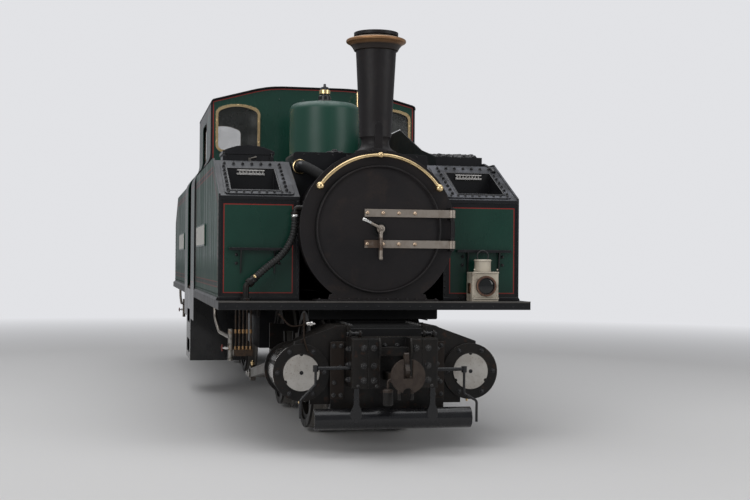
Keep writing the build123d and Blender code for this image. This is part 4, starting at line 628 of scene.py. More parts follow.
def frame_paint(name="frame_black", dust=0.4):
    """Oily black of the bogies, with dust, rust and worn edges."""
    paint = Surface(name, (0.0055, 0.0052, 0.005), 0.5, coat=0.08, coat_rough=0.2, specular=0.22)
    patch = paint.noise(6, 7, shift=(1, 5, 2))
    fine = paint.noise(75, 5)
    oil = paint.noise(13, 5, (1, 1, 0.4), (8, 2, 0))
    paint.paint((0.0115, 0.009, 0.0072), patch.over(0.5, 0.2) * 0.75)
    paint.paint(RUST, paint.noise(22, 7, shift=(3, 3, 3)).over(0.64, 0.1) * 0.35)
    paint.paint(DUST, paint.nz.over(0.5, 0.6) * fine.over(0.46, 0.25) * dust)
    paint.paint((0.11, 0.1, 0.095), paint.edges(0.005) * fine.over(0.47, 0.2) * 0.45)
    paint.rough(oil.over(0.5, 0.3) * -0.28 + fine * 0.2 + 0.48)
    paint.height(fine, 0.0009)
    paint.height(patch, 0.003)
    return paint


def cylinder_paint():
    """Frame black with a polished barrel between the cylinder's rings."""
    paint = frame_paint("cylinder_black")
    bright = paint.far_x.band(3.79, 0.07, 0.002) * paint.far_y.over(0.63, 0.01)
    paint.paint(POLISHED, bright * paint.noise(120, 3, (0.05, 1, 1)).line(0.4, 0.75))
    paint.metal(bright * 0.9)
    return paint.done(0.004)


def metal(name, colour, rough, tarnish, amount, brushed=(1, 1, 1)):
    """Bare metal with fine marks in one direction and some tarnish."""
    paint = Surface(name, colour, rough, metal=1.0)
    marks = paint.noise(220, 3, brushed)
    patch = paint.noise(9, 6)
    paint.paint(tarnish, patch.over(0.5, 0.3) * amount)
    spots = paint.noise(45, 5, shift=(4, 4, 1)).over(0.6, 0.12)
    paint.paint(tuple(c * 0.35 for c in tarnish), spots * amount)
    paint.rough(marks * 0.16 + patch * 0.2 + (rough - 0.16))
    paint.height(marks, 0.0002)
    return paint.done(0.0015)


def strap_steel():
    """Brushed steel, browned on the lower strap beside the handle."""
    paint = Surface("strap_steel", (0.37, 0.325, 0.28), 0.4, metal=0.9)
    marks = paint.noise(220, 3, (1, 0.08, 1))
    patch = paint.noise(16, 6)
    paint.paint((0.19, 0.15, 0.12), patch.over(0.56, 0.2) * 0.45)
    brown = paint.z.under(1.33, 0.01) * paint.y.under(0.03, 0.03) * paint.z.over(1.25, 0.01)
    paint.paint((0.1, 0.06, 0.04), brown * patch.over(0.36, 0.3) * 0.8)
    paint.rough(marks * 0.16 + patch * 0.22 + 0.26)
    paint.height(marks, 0.0003)
    return paint.done(0.0015)


def cover_metal():
    """Pale worn metal of the cylinder covers."""
    paint = Surface("cover_disc", (0.46, 0.44, 0.41), 0.42, metal=0.35)
    patch = paint.noise(12, 6)
    fine = paint.noise(90, 5)
    paint.paint((0.34, 0.31, 0.275), patch.over(0.52, 0.25) * 0.7)
    paint.paint((0.2, 0.17, 0.14), fine.over(0.62, 0.08) * patch.over(0.45, 0.2) * 0.6)
    paint.rough(patch * 0.25 + 0.26)
    paint.height(fine, 0.0004)
    return paint.done(0.001)


def wheel_metal():
    """Black wheels with bare treads, hubs and crank pins."""
    paint = frame_paint("wheel_black", 0.4)
    inner, outer = ((paint.far_x - x).away(paint.z - AXLE_Z) for x in AXLES)
    radius = inner.least(outer)
    tread = radius.over(0.3985, 0.002) * (paint.far_y.under(0.3665) + radius.over(0.4045)).least(1.0)
    pins = paint.far_y.over(0.385) * radius.over(0.125, 0.002)
    bare = tread.most(radius.under(0.052, 0.002) * 0.7).most(pins)
    paint.paint((0.02, 0.018, 0.016), radius.over(0.352, 0.002) * 0.6)
    paint.paint((0.26, 0.245, 0.225), bare * paint.noise(150, 3).line(0.5, 0.6))
    paint.metal(bare * 0.95)
    return paint.done(0.003)


def motion_steel():
    """Worn slidebars and a polished piston rod along the cylinder's axis."""
    paint = frame_paint("motion_steel")
    bars = paint.far_x.over(2.476, 0.002)
    paint.paint((0.1, 0.09, 0.08), bars * paint.noise(60, 5, (0.1, 1, 1)).over(0.4, 0.4) * 0.8)
    axis = paint.z - CYLINDER[2] + (paint.far_x * -1 + CYLINDER[0]) * 0.0246
    rod = abs(paint.far_y - CYLINDER[1]).under(0.0215) * abs(axis).under(0.0215)
    paint.paint(POLISHED, rod)
    paint.metal((bars * 0.5).most(rod * 0.95))
    return paint.done(0.003)


def lubricator_metal():
    """Dirty copper with brass nuts and bright fittings."""
    paint = Surface("lubricator_metal", (0.028, 0.019, 0.013), 0.45, metal=0.5)
    patch = paint.noise(40, 5)
    pipes = paint.far_x.over(3.186, 0.002)
    nuts = paint.z.band(0.6, 0.023).most(paint.z.band(0.708, 0.027)) * pipes
    valve = pipes * paint.far_y.over(0.898)
    supply = paint.far_x.under(3.183, 0.002)
    paint.paint((0.075, 0.042, 0.022), patch.over(0.52, 0.2) * 0.6)
    paint.paint((0.3, 0.18, 0.085), nuts * patch.over(0.35, 0.2))
    paint.paint((0.28, 0.265, 0.24), valve * patch.over(0.42, 0.2))
    paint.paint((0.3, 0.27, 0.235), supply)
    paint.metal((nuts + valve + supply).least(1.0) * 0.45 + 0.5)
    paint.rough(patch * 0.3 + 0.2)
    paint.height(patch, 0.0006)
    return paint.done(0.001)


def coupler_iron():
    """Frame black, rusty brown on the coupler's disc."""
    paint = frame_paint("coupler_iron", 0.3)
    disc = paint.far_x.over(4.13, 0.01) * paint.z.over(0.41, 0.004)
    paint.paint((0.05, 0.037, 0.029), disc * 0.9)
    paint.paint((0.03, 0.021, 0.017), disc * paint.noise(26, 6, shift=(2, 2, 5)).over(0.52, 0.2) * 0.8)
    return paint.done(0.003)


def hose_rubber():
    """Matt black rubber with a little dust."""
    paint = Surface("hose_rubber", (0.0085, 0.0083, 0.0083))
    fine = paint.noise(120, 5)
    paint.paint((0.04, 0.037, 0.034), fine.over(0.5, 0.25) * paint.noise(14, 5).over(0.5, 0.3) * 0.5)
    paint.rough(fine * 0.25 + 0.45)
    paint.height(fine, 0.0006)
    return paint.done()


def coal_surface():
    """Black with shiny and dull facets."""
    paint = Surface("coal", (0.0055, 0.0055, 0.006), 0.35, specular=0.7)
    fine = paint.noise(70, 5)
    paint.paint((0.02, 0.019, 0.018), fine.over(0.52, 0.2) * 0.7)
    paint.rough(paint.cells(34).over(0.3, 0.3) * 0.35 + 0.16)
    paint.height(fine, 0.003)
    return paint.done()


def cream_enamel():
    """Chipped cream of the lamp, with a dark bezel and handle."""
    paint = Surface("lamp_cream", (0.56, 0.50, 0.40), 0.35, coat=0.3)
    patch = paint.noise(16, 6)
    fine = paint.noise(120, 5)
    paint.paint((0.36, 0.30, 0.23), patch.over(0.52, 0.2) * 0.55)
    paint.paint((0.10, 0.075, 0.055), paint.edges(0.005) * fine.over(0.44, 0.2) * 0.9)
    paint.paint((0.13, 0.10, 0.075), patch.over(0.62, 0.08) * fine.over(0.45, 0.2) * 0.7)
    bezel = (paint.y - LAMP[0]).away(paint.z - LAMP[1]).under(0.0685) * paint.x.over(3.538)
    paint.paint((0.06, 0.032, 0.024), bezel)
    paint.paint((0.012, 0.0115, 0.011), paint.z.over(1.198, 0.002))
    paint.metal(bezel * 0.5)
    paint.rough(fine * 0.25 + 0.28)
    paint.height(patch, 0.0015)
    return paint.done(0.003)


def clear_glass():
    """Thin glass with smears."""
    paint = Surface("window_glass", (0.1, 0.105, 0.1), 0.06)
    smear = paint.noise(6, 6, shift=(1, 1, 4))
    paint.paint((0.3, 0.3, 0.29), smear.over(0.58, 0.2) * 0.6)
    paint.tree.links.new((smear * 0.25 + 0.08).out, paint.shader.inputs["Alpha"])
    paint.rough(smear * 0.12 + 0.02)
    return paint.done()


def lens_glass():
    """Dark glass of the lamp and the gauge tubes."""
    paint = Surface("lamp_lens", (0.004, 0.005, 0.005), 0.06, coat=0.15, coat_rough=0.02)
    paint.rough(paint.noise(30, 3) * 0.1 + 0.03)
    return paint.done()


def timber():
    """Brown planks with their grain along the engine."""
    paint = Surface("cab_timber", (0.10, 0.055, 0.03), 0.55)
    grain = paint.noise(30, 6, (0.15, 1, 1))
    paint.paint((0.045, 0.025, 0.014), grain.over(0.5, 0.25))
    paint.rough(grain * 0.3 + 0.4)
    paint.height(grain, 0.001)
    return paint.done()


# Each finish: its material, and the name of its slot
FINISHES = {
    "tank": (tank_paint(), "green_paint"),
    "cab": (cab_paint(), "green_paint"),
    "dome": (dome_paint(), "green_paint"),
    "edging": (lined("plate_edging").done(0.001), "green_paint"),
    "red": (black("red_enamel", 0.4, colour=(0.1, 0.018, 0.013), wear=0.0), "green_paint"),
    "gloss": (black("black_gloss", 0.3, 0.3, 0.2), "black_paint"),
    "plate": (black("plate_black", 0.42, 0.12, 0.6, wear=0.9, bevel=0.004), "black_paint"),
    "roof": (black("roof_black", 0.5, 0.1, 0.7, wear=0.1), "black_paint"),
    "wet": (black("wet_black", 0.24, 0.45, 0.25, wear=0.25), "black_paint"),
    "worn": (black("worn_edge", 0.45, 0.1, 0.6, (0.07, 0.065, 0.06), 0.6), "black_paint"),
    "timber": (timber(), "black_paint"),
    "boiler": (black("boiler_black", 0.4, 0.15, 0.4, wear=0.0), "boiler_black"),
    "smokebox": (smokebox_paint(), "smokebox_black"),
    "frame": (frame_paint().done(0.004), "frame_black"),
    "cylinder": (cylinder_paint(), "frame_black"),
    "bolts": (black("bolt_black", 0.3, 0.35, 0.2, wear=1.0, bevel=0.0015), "frame_black"),
    "rust": (black("rusty_plate", 0.55, 0.0, 0.3, (0.016, 0.0105, 0.0075), 0.5), "frame_black"),
    "black": (black("dull_black", 0.6, 0.0, 0.15, (0.004, 0.004, 0.0042), 0.1), "frame_black"),
    "wheel": (wheel_metal(), "wheel_steel"),
    "rod": (
        metal("rod_steel", (0.21, 0.2, 0.185), 0.38, (0.1, 0.075, 0.055), 0.6, (0.08, 1, 1)), "rod_steel",
    ),
    "strap": (strap_steel(), "rod_steel"),
    "brown": (coupler_iron(), "rod_steel"),
    "motion": (motion_steel(), "rod_steel"),
    "disc": (cover_metal(), "rod_steel"),
    "bright": (metal("bright_steel", (0.68, 0.66, 0.63), 0.22, (0.4, 0.36, 0.32), 0.3), "rod_steel"),
    "white": (metal("white_steel", (0.82, 0.81, 0.79), 0.18, (0.6, 0.58, 0.55), 0.3), "rod_steel"),
    "stud": (metal("stud_bronze", (0.62, 0.47, 0.34), 0.26, (0.3, 0.2, 0.13), 0.3), "rod_steel"),
    "brass": (metal("brass", (0.82, 0.62, 0.34), 0.2, (0.55, 0.37, 0.17), 0.35), "brass"),
    "valve": (valve_paint(), "brass"),
    "sign": (Surface("pale_plate", (0.5, 0.48, 0.42), 0.35, coat=0.3).done(0.001), "brass"),
    "bronze": (cap_bronze(), "cap_bronze"),
    "copper": (metal("copper", (0.4, 0.2, 0.115), 0.42, (0.14, 0.085, 0.06), 0.8), "copper"),
    "dull": (metal("dull_copper", (0.04, 0.03, 0.024), 0.5, (0.02, 0.013, 0.01), 0.8), "copper"),
    "oiler": (lubricator_metal(), "copper"),
    "hose": (hose_rubber(), "hose_rubber"),
    "coal": (coal_surface(), "coal"),
    "cream": (cream_enamel(), "lamp_cream"),
    "glass": (clear_glass(), "glass"),
    "lens": (lens_glass(), "glass"),
}

# The finish of each solid, by the start of its name; the first that fits is taken
NODE_FINISH = (
    ("side_tanks", "tank"), ("cab_roof", "roof"), ("cab", "cab"), ("domes", "dome"),
    ("dome_valves", "valve"), ("window_rims", "brass"), ("window_glass", "glass"),
    ("smokebox_rails", "brass"), ("smokebox", "smokebox"), ("chimney_caps", "bronze"),
    ("chimneys", "smokebox"), ("boiler", "boiler"), ("running_plate", "plate"),
    ("door_straps", "strap"), ("wheelset", "wheel"), ("coupling_rod", "rod"), ("connecting_rod", "rod"),
    ("coupler", "brown"), ("plough", "wet"), ("slidebars", "motion"), ("cylinders", "cylinder"),
    ("coal_bunkers", "roof"), ("coal", "coal"), ("brake_hose", "hose"), ("headlamp", "cream"),
    ("lubricators", "oiler"), ("tank_shelves", "gloss"), ("sandboxes", "gloss"), ("filler", "wet"),
    ("hose_fittings", "frame"), ("front_pipes", "wet"), ("", "frame"),
)
for node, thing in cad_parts.items():
    finish = next(kind for start, kind in NODE_FINISH if node.startswith(start))
    for place in thing.material_slots:
        place.link = "OBJECT"
        place.material = FINISHES[finish][0]


def piece(name, body, finish, shape, angle=32):
    """One object from a shape, riding on a body; edges that turn by more than the angle stay sharp."""
    material, slot = FINISHES[finish]
    mesh = bpy.data.meshes.new(name)
    mesh.from_pydata(shape.points, [], shape.faces)
    mesh.materials.append(material)
    mesh.validate()
    mesh.shade_smooth()
    mesh.set_sharp_from_angle(angle=radians(angle))
    thing = bpy.data.objects.new(name, mesh)
    bpy.context.collection.objects.link(thing)
    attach(thing, body)
    return thing


# Small parts are drawn at the front and left, and become pieces once all are listed
details = []


def detail(name, finish, body="superstructure", sides=False, ends=True, angle=32):
    """A shape to draw: sides adds its image on the engine's other side, ends the one at its other end."""
    shape = Shape()
    details.append((shape, name, finish, body, sides, ends, angle))
    return shape


# Brake hose: a ribbed tube along the route's own smooth line
hose_route = (
    (3.448, -0.528, 1.480), (3.448, -0.528, 1.378), (3.450, -0.564, 1.280),
    (3.454, -0.628, 1.198), (3.464, -0.727, 1.126), (3.480, -0.815, 1.044),
)
hose_diameter = 0.05
RIB_DEPTH = 0.0052
STEPS_PER_RIB = 8
PLAIN_STEPS = 14


def smooth_line(route):
    """Points along the NURBS line of a route, evenly spaced."""
    curve = bpy.data.curves.new("route", "CURVE")
    curve.dimensions = "3D"
    curve.resolution_u = 40
    spline = curve.splines.new("NURBS")
    spline.points.add(len(route) - 1)
    for point, place in zip(spline.points, route):
        point.co = (*place, 1)
    spline.order_u = 3
    spline.use_endpoint_u = True
    holder = bpy.data.objects.new("route", curve)
    mesh = bpy.data.meshes.new_from_object(holder)
    line = [v.co.copy() for v in mesh.vertices]
    bpy.data.objects.remove(holder)
    bpy.data.curves.remove(curve)
    return line


def spaced(line, step):
    """Points at even steps along a line, and the line's length."""
    lengths = [(b - a).length for a, b in zip(line, line[1:])]
    total = sum(lengths)
    count = round(total / step)
    points = []
    travelled = 0.0
    start = 0
    for index in range(count + 1):
        distance = total * index / count
        while start < len(lengths) - 1 and travelled + lengths[start] < distance:
            travelled += lengths[start]
            start += 1
        t = min(1.0, (distance - travelled) / lengths[start])
        points.append(line[start].lerp(line[start + 1], t))
    return points, total


for end, sign in (("front", 1), ("rear", -1)):
    route = [(sign * x, y, z) for x, y, z in hose_route]
    line, hose_length = spaced(smooth_line(route), 0.0024)
    radii = []
    for i in range(len(line)):
        groove = (0.5 - 0.5 * cos(tau * i / STEPS_PER_RIB)) ** 1.5
        plain_end = min(i, len(line) - 1 - i) < PLAIN_STEPS
        radii.append(hose_diameter / 2 - (0 if plain_end else RIB_DEPTH * groove))
    ribbed = Shape()
    tube(ribbed, line, radii, 28)
    hose = piece(f"brake_hose_{end}_ribbed", "superstructure", "hose", ribbed, 60)
    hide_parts(f"brake_hose_{end}")

# Sloping tank fronts: studs round the recess, a rim and a slotted strip inside it
slope_normal = Vector((sin(slope_angle), 0, cos(slope_angle)))
slope_up = Vector((-cos(slope_angle), 0, sin(slope_angle)))


def on_slope(distance, y, above=0.0):
    """A point of the tank's slope: distance up from the front edge."""
    return Vector((TANK_FRONT, y, SLOPE_FOOT_Z)) + slope_up * distance + slope_normal * above


studs = detail("slope_studs", "wet", sides=True)
for index in range(7):
    distance = 0.085 + index * 0.068
    bolt(studs, on_slope(0.548, 0.566 + index * 0.0632, 0.008), slope_normal, 0.0105, 0.013, 0.2 * index)
    bolt(studs, on_slope(distance, 0.566, 0.008), slope_normal, 0.0105, 0.013, 0.3 * index)
    bolt(studs, on_slope(distance, 0.953, 0.008), slope_normal, 0.0095, 0.013, 0.4 * index)
for index in range(9):
    bolt(studs, on_slope(0.052, 0.55 + index * 0.0498, 0.008), slope_normal, 0.0075, 0.008, 0.2 * index)

rims = detail("well_rims", "wet", sides=True)
for u, v in (
    ((0.0735, 0.0855), (-0.942, -0.6)), ((0.463, 0.475), (-0.942, -0.6)),
    ((0.0855, 0.463), (-0.612, -0.6)), ((0.0855, 0.463), (-0.942, -0.93)),
):
    slab(rims, rectangle(u, v), 0.006, 0.013, (on_slope(0, 0), slope_up, (0, -1, 0)), 0.002)

strips = detail("well_strips", "bright", sides=True)
brick(strips, (2.956, 0.675, 1.762), (2.975, 0.868, 1.776))
for index in range(8):
    y = 0.682 + index * 0.0225
    brick(strips, (2.954, y, 1.776), (2.972, y + 0.012, 1.790))
brick(strips, (2.954, 0.675, 1.790), (2.974, 0.868, 1.797))

# Corner strips and rivets of the tanks
TANK_INSIDE = 0.486
strip = detail("tank_strips", "gloss", sides=True)
for u, v, thick, bevel in (
    ((TANK_INSIDE, 0.508), (PLATE_TOP, SLOPE_FOOT_Z), 0.004, 0.0015),
    ((1.0, TANK_SIDE), (PLATE_TOP, SLOPE_FOOT_Z), 0.004, 0.0015),
    ((TANK_INSIDE, TANK_SIDE), (1.576, 1.6), 0.005, 0.002),
    ((TANK_INSIDE, TANK_SIDE), (PLATE_TOP, 0.942), 0.006, 0.002),
):
    slab(strip, rectangle(u, v), 0.0, thick, facing_ahead(TANK_FRONT), bevel)
foot_angle = [(0, 0), (0.0125, 0), (0.0125, 0.005), (0.005, 0.018), (0, 0.018)]
slab(strip, foot_angle, 0.79, 3.36, ((0, TANK_SIDE, PLATE_TOP), LEFT, UP))

heads = detail("tank_rivets", "gloss", sides=True)
rivets(heads, (TANK_FRONT + 0.004, 0.497, 0.965), (0, 0, 0.043), 15, AHEAD, 0.0062)
for y in (0.502, 0.985):
    rivets(heads, (0.86, y, TANK_TOP), (0.058, 0, 0), 33, UP, 0.008)
rivets(heads, (2.76, 0.53, TANK_TOP), (0, 0.047, 0), 10, UP, 0.008)
side_heads = detail("side_rivets", "tank", sides=True)
for x, z, step, count in (
    (0.83, 0.958, (0.06, 0, 0), 42), (0.81, 0.96, (0, 0, 0.0614), 15), (3.345, 0.96, (0, 0, 0.0429), 15),
):
    rivets(side_heads, (x, TANK_SIDE + 0.0005, z), step, count, LEFT, 0.0052, 0.0022)

# Blank name plates on the tank sides, framed
signs = detail("name_plates", "sign", sides=True)
slab(signs, rectangle((-2.108, -1.092), (1.297, 1.443), 0.012), 0.009, 0.013, facing_left(TANK_SIDE), 0.001)
frames = detail("name_plate_frames", "edging", sides=True)
slab(frames, rectangle((-2.12, -1.08), (1.285, 1.455), 0.02), 0.0, 0.0115, facing_left(TANK_SIDE), 0.002)

# Bolts of the tank shelf's brackets
shelf_bolts = detail("shelf_bolts", "gloss", sides=True)
for y, z in product((0.62, 0.9), (1.16, 1.215)):
    bolt(shelf_bolts, (TANK_FRONT + 0.004, y, z), AHEAD, 0.008, 0.009, y * 9)

# Smokebox door: strap rivets, washer, bright lever with its knob, handle and the rim's bead
door_heads = detail("strap_rivets", "stud", "smokebox_door")
for z, y in product((1.491, 1.291), (-0.083, 0.02, 0.125, 0.231)):
    rivet(door_heads, (3.614, y, z), AHEAD, 0.013, 0.0095)
washer = detail("door_washer", "black", "smokebox_door")
profile = [(0, 0.05), (0.006, 0.05), (0.008, 0.046), (0.008, 0.034), (0.036, 0.026)]
turned(washer, (3.605, 0, BOILER_Z), AHEAD, profile, 36)
lever = detail("door_lever", "strap", "smokebox_door")
turned(lever, (3.645, 0, BOILER_Z), AHEAD, [(0, 0.024), (0.004, 0.024), (0.006, 0.018), (0.018, 0.016)], 20)
bolt(lever, (3.662, 0, BOILER_Z), AHEAD, 0.012, 0.012)
lever_start, lever_end = Vector((3.655, 0, 1.39)), Vector((3.66, -0.113, 1.446))
tube(lever, [lever_start, lever_start.lerp(lever_end, 0.5), lever_end], [0.0115, 0.0095, 0.0105], 12)
knob = detail("lever_knob", "white", "smokebox_door")
profile = [(-0.05, 0.0105), (-0.02, 0.0115), (0.006, 0.0125), (0.012, 0.009)]
turned(knob, lever_end, lever_end - lever_start, profile, 16)
handle = detail("door_handle", "strap", "smokebox_door")
tube(handle, [(3.652, 0, 1.375), (3.653, 0, 1.29), (3.65, 0, 1.204)], [0.012, 0.0105, 0.0115], 12)
profile = [(-0.008, 0.009), (0, 0.014), (0.012, 0.013), (0.018, 0.007)]
turned(handle, (3.65, 0, 1.204), (0, 0, -1), profile, 14)
hoop(detail("door_rims", "smokebox", "smokebox_door"), (3.601, 0, BOILER_Z), 0.4065, 0.0062, 96, 10)

# Rivets round the smokebox drum, left out behind the chimney's saddle
seams = detail("drum_rivets", "smokebox")
for index in range(40):
    angle = pi * (index + 0.5) / 40
    for x in (3.395, 3.535):
        y, z = 0.4985 * cos(angle), BOILER_Z + 0.4985 * sin(angle)
        if abs(y) >= 0.2:
            rivet(seams, (x, y, z), (0, cos(angle), sin(angle)), 0.0075)

# Headlamp: lens, ring with side clips, and trim
lens = detail("lamp_lens", "lens", ends=False, angle=60)
profile = [(0, 0.06), (0.005, 0.059), (0.01, 0.048), (0.013, 0.031), (0.0145, 0.012)]
turned(lens, (3.545, *LAMP), AHEAD, profile, 32)
lamp_ring = detail("lamp_ring", "copper", ends=False)
hoop(lamp_ring, (3.557, *LAMP), 0.0635, 0.0036, 36, 8)
for y in (0.639, 0.829):
    brick(lamp_ring, (3.44, y - 0.003, 0.97), (3.5, y + 0.003, 1.04), 0.001)
lamp_trim = detail("lamp_trim", "cream", ends=False)
for z in (0.935, 1.105):
    brick(lamp_trim, (3.5395, 0.6435, z), (3.546, 0.8245, z + 0.012), 0.0015)
for y, z in product((0.655, 0.813), (1.13, 0.96)):
    rivet(lamp_trim, (3.54, y, z), AHEAD, 0.006)

# Cylinder fronts: pale cover discs with three notches, cover nuts, and bright steel strips as painted
# highlights where light catches the barrels
cylinder_tilt = atan2(0.0585, 2.377)
cylinder_forward = Vector((cos(cylinder_tilt), 0, sin(cylinder_tilt)))
cylinder_up = Vector((-sin(cylinder_tilt), 0, cos(cylinder_tilt)))


def on_cylinder(x, angle, radius):
    """A point round the left cylinder's axis: the angle goes up from its outer side."""
    centre = Vector(CYLINDER) + cylinder_forward * (x - CYLINDER[0])
    return centre + Vector((0, radius * cos(angle), 0)) + cylinder_up * radius * sin(angle)


NOTCH_HALF_ANGLE = 0.1
outline = []
for index in range(240):
    angle = tau * index / 240
    notch = min(abs((angle - radians(middle) + pi) % tau - pi) for middle in (90, 210, 330))
    reach = 0.1125 - 0.0105 * max(0.0, 1 - (notch / NOTCH_HALF_ANGLE) ** 2) ** 0.5
    outline.append((reach * cos(angle), reach * sin(angle)))
face_centre = Vector(CYLINDER) + Vector((0.004, 0, 0))
discs = detail("cover_discs", "disc", "bogie", sides=True)
slab(discs, outline, -0.001, 0.0035, (face_centre, LEFT, cylinder_up), 0.001)
nuts = detail("cover_nuts", "wet", "bogie", sides=True)
for index in range(6):
    bolt(nuts, on_cylinder(3.861, tau * index / 6, 0.147), cylinder_forward, 0.0125, 0.016, index * 0.4)
profile = [(0.001, 0.0125), (0.0045, 0.0125), (0.0045, 0.007), (0.0038, 0.004)]
turned(nuts, face_centre, cylinder_forward, profile, 16)

# The faces of a box whose corners are listed low and high for each of three sides in turn
BOX_FACES = [[0, 1, 3, 2], [4, 6, 7, 5], [0, 4, 5, 1], [2, 3, 7, 6], [0, 2, 6, 4], [1, 5, 7, 3]]
# Bright steel strips laid only over the arcs where the barrels catch the light: painted highlights
highlight_strips = detail("cylinder_highlight_strips", "bright", "bogie", sides=True)
for (low, high), (x0, x1, radius), index in product(
    ((24, 60), (-18, 15)), ((3.455, 3.838, 0.1565), (3.8395, 3.8625, 0.1775)), range(8),
):
    angles = [radians(low + (high - low) * step / 8) for step in (index, index + 1)]
    places = product((radius - 0.004, radius), (x0, x1), angles)
    highlight_strips.add([on_cylinder(x, angle, r) for r, x, angle in places], BOX_FACES)

# Drain cocks and cladding screws of the cylinders
cocks = detail("drain_cocks", "brass", "bogie", sides=True)
profile = [(-0.01, 0.012), (0.012, 0.012), (0.014, 0.018), (0.026, 0.018), (0.028, 0.008), (0.045, 0.007)]
for x in (3.47, 3.78):
    foot = on_cylinder(x, -pi / 2, 0.15)
    turned(cocks, foot, (0, 0, -1), profile, 12)
    tube(cocks, [foot - Vector((0, 0.03, 0.02)), foot + Vector((0, 0.03, -0.02))], 0.005, 8)
screws = detail("cladding_screws", "cylinder", "bogie", sides=True)
for x, index in product((3.462, 3.83), range(12)):
    angle = tau * index / 12
    rivet(screws, on_cylinder(x, angle, 0.1545), on_cylinder(x, angle, 1) - on_cylinder(x, angle, 0), 0.006)

# Buffer block: doubled face plates, bolts, side nuts, and shackle pins on its top
block_plates = detail("block_plates", "frame", "bogie")
for y in ((-0.262, -0.171), (-0.167, -0.097), (0.097, 0.163), (0.168, 0.262)):
    slab(block_plates, rectangle(y, (0.418, 0.709), 0.006), -0.001, 0.0045, facing_ahead(4.096), 0.0015)
block_bolts = detail("block_bolts", "bolts", "bogie")
for y, z in product((-0.194, -0.131, 0.131, 0.206), (0.655, 0.548, 0.46)):
    bolt(block_bolts, (4.1, y, z), AHEAD, 0.0155, 0.015, y * 30 + z * 11)
for sign, z in product((-1, 1), (0.645, 0.552, 0.462)):
    bolt(block_bolts, (4.03, sign * 0.266, z), (0, sign, 0), 0.0165, 0.02, z * 9)
for index in range(5):
    bolt(block_bolts, (4.1, -0.228 + index * 0.114, 0.427), AHEAD, 0.0085, 0.008, index)
for y in (0.039, -0.039):
    bolt(block_bolts, (3.977, y, 0.661), AHEAD, 0.013, 0.016)
shackles = detail("shackle_lugs", "frame", "bogie")
lug = rectangle((-4.025, -3.965), (0.712, 0.758), 0.018)
pins = detail("shackle_pins", "bolts", "bogie")
for sign in (-1, 1):
    across = (0, sign, 0)
    for y in (0.2, 0.262):
        slab(shackles, lug, -0.006, 0.006, facing_left(sign * y), 0.0015)
    profile = [(0, 0.009), (0.004, 0.012), (0.092, 0.012), (0.096, 0.009)]
    turned(pins, (3.995, sign * 0.186, 0.736), across, profile, 14)
    for step in (0.02, 0.032, 0.062, 0.074):
        turned(pins, (3.995, sign * (0.186 + step), 0.736), across, [(0, 0.016), (0.007, 0.016)], 14)

# Bolted side plates between the block and the cylinders
side_plates = detail("side_plates", "rust", "bogie")
side_bolts = detail("side_plate_bolts", "bolts", "bogie")
for sign in (-1, 1):
    span = sorted((sign * 0.275, sign * 0.362))
    slab(side_plates, rectangle(span, (0.326, 0.682), 0.015), -0.001, 0.007, facing_ahead(3.88), 0.002)
    for y, z in (
        (0.295, 0.655), (0.342, 0.655), (0.3, 0.525), (0.338, 0.43), (0.295, 0.352), (0.342, 0.352),
    ):
        bolt(side_bolts, (3.887, sign * y, z), AHEAD, 0.0115, 0.011, z * 13)

# Steam chest between the cylinders, with its studs
chest = detail("steam_chest", "black", "bogie")
brick(chest, (3.4, -0.255, 0.56), (3.855, 0.255, 0.764), 0.006)
brick(chest, (3.42, -0.235, 0.76), (3.83, 0.235, 0.775), 0.004)
for y in (-0.12, 0.12):
    profile = [(0, 0.055), (0.06, 0.055), (0.062, 0.075), (0.085, 0.075)]
    turned(chest, (3.44, y, 0.69), (-1, 0, 0), profile, 24)
chest_studs = detail("chest_studs", "bolts", "bogie")
for index, y in product(range(7), (-0.22, 0.22)):
    bolt(chest_studs, (3.44 + index * 0.062, y, 0.775), UP, 0.01, 0.009, index)

# Thin lubricating pipes above the right cylinder, with a bright fitting
thin = detail("oil_pipes", "dull", "bogie")
for points, bend, radius in (
    (
        [(3.86, -0.683, 0.853), (3.86, -0.608, 0.772), (3.86, -0.534, 0.782), (3.86, -0.49, 0.791)],
        0.03, 0.005,
    ),
    ([(3.87, -0.526, 0.858), (3.87, -0.526, 0.69), (3.888, -0.498, 0.615)], 0.04, 0.0055),
    ([(3.6, -0.49, 0.8), (3.8, -0.49, 0.795), (3.86, -0.49, 0.791)], 0.04, 0.005),
):
    tube(thin, bent(points, bend), radius, 8)
fitting = detail("oil_fitting", "bright", "bogie")
profile = [
    (0, 0.008), (0.008, 0.012), (0.022, 0.012), (0.026, 0.016), (0.038, 0.016), (0.04, 0.007),
    (0.055, 0.006),
]
turned(fitting, (3.855, -0.51, 0.79), LEFT, profile, 12)

# Running plate: worn half-round edge, rivets of the beam, apron under the smokebox
edge = detail("plate_edge", "worn")
outline = rectangle((-1.03, 1.03), (0.9105, 0.9215), 0.003)
slab(edge, outline, -0.001, 0.0035, facing_ahead(PLATE_FRONT), 0.0015)
rivets(detail("beam_rivets", "plate"), (PLATE_FRONT, -0.98, 0.886), (0, 0.07, 0), 29, AHEAD, 0.006, 0.003)
apron = detail("under_apron", "black")
slab(apron, rectangle((-0.432, 0.432), (0.797, 0.874), 0.01), -0.008, 0.0, facing_ahead(3.43), 0.001)
for y in (-0.424, 0.424):
    brick(apron, (3.385, y - 0.006, 0.799), (3.424, y + 0.006, 0.873), 0.001)

# Coal: ragged lumps over a rough heap in each bunker
chance = Random(11)
HEAP = ((0.835, 2.1), (1.2, 2.074), (1.7, 2.056), (2.0, 2.024), (2.5, 1.984), (2.69, 1.966))
HEAP_X = (0.836, 2.688)
HEAP_Y = (0.611, 0.941)
HEAP_BASE = 1.885
COLUMNS, ROWS = 44, 10
LUMPS = 330


def heap_height(x):
    """The heap's height at a place along the bunker."""
    for (x0, z0), (x1, z1) in zip(HEAP, HEAP[1:]):
        if x <= x1:
            return z0 + (z1 - z0) * max(0.0, x - x0) / (x1 - x0)
    return HEAP[-1][1]


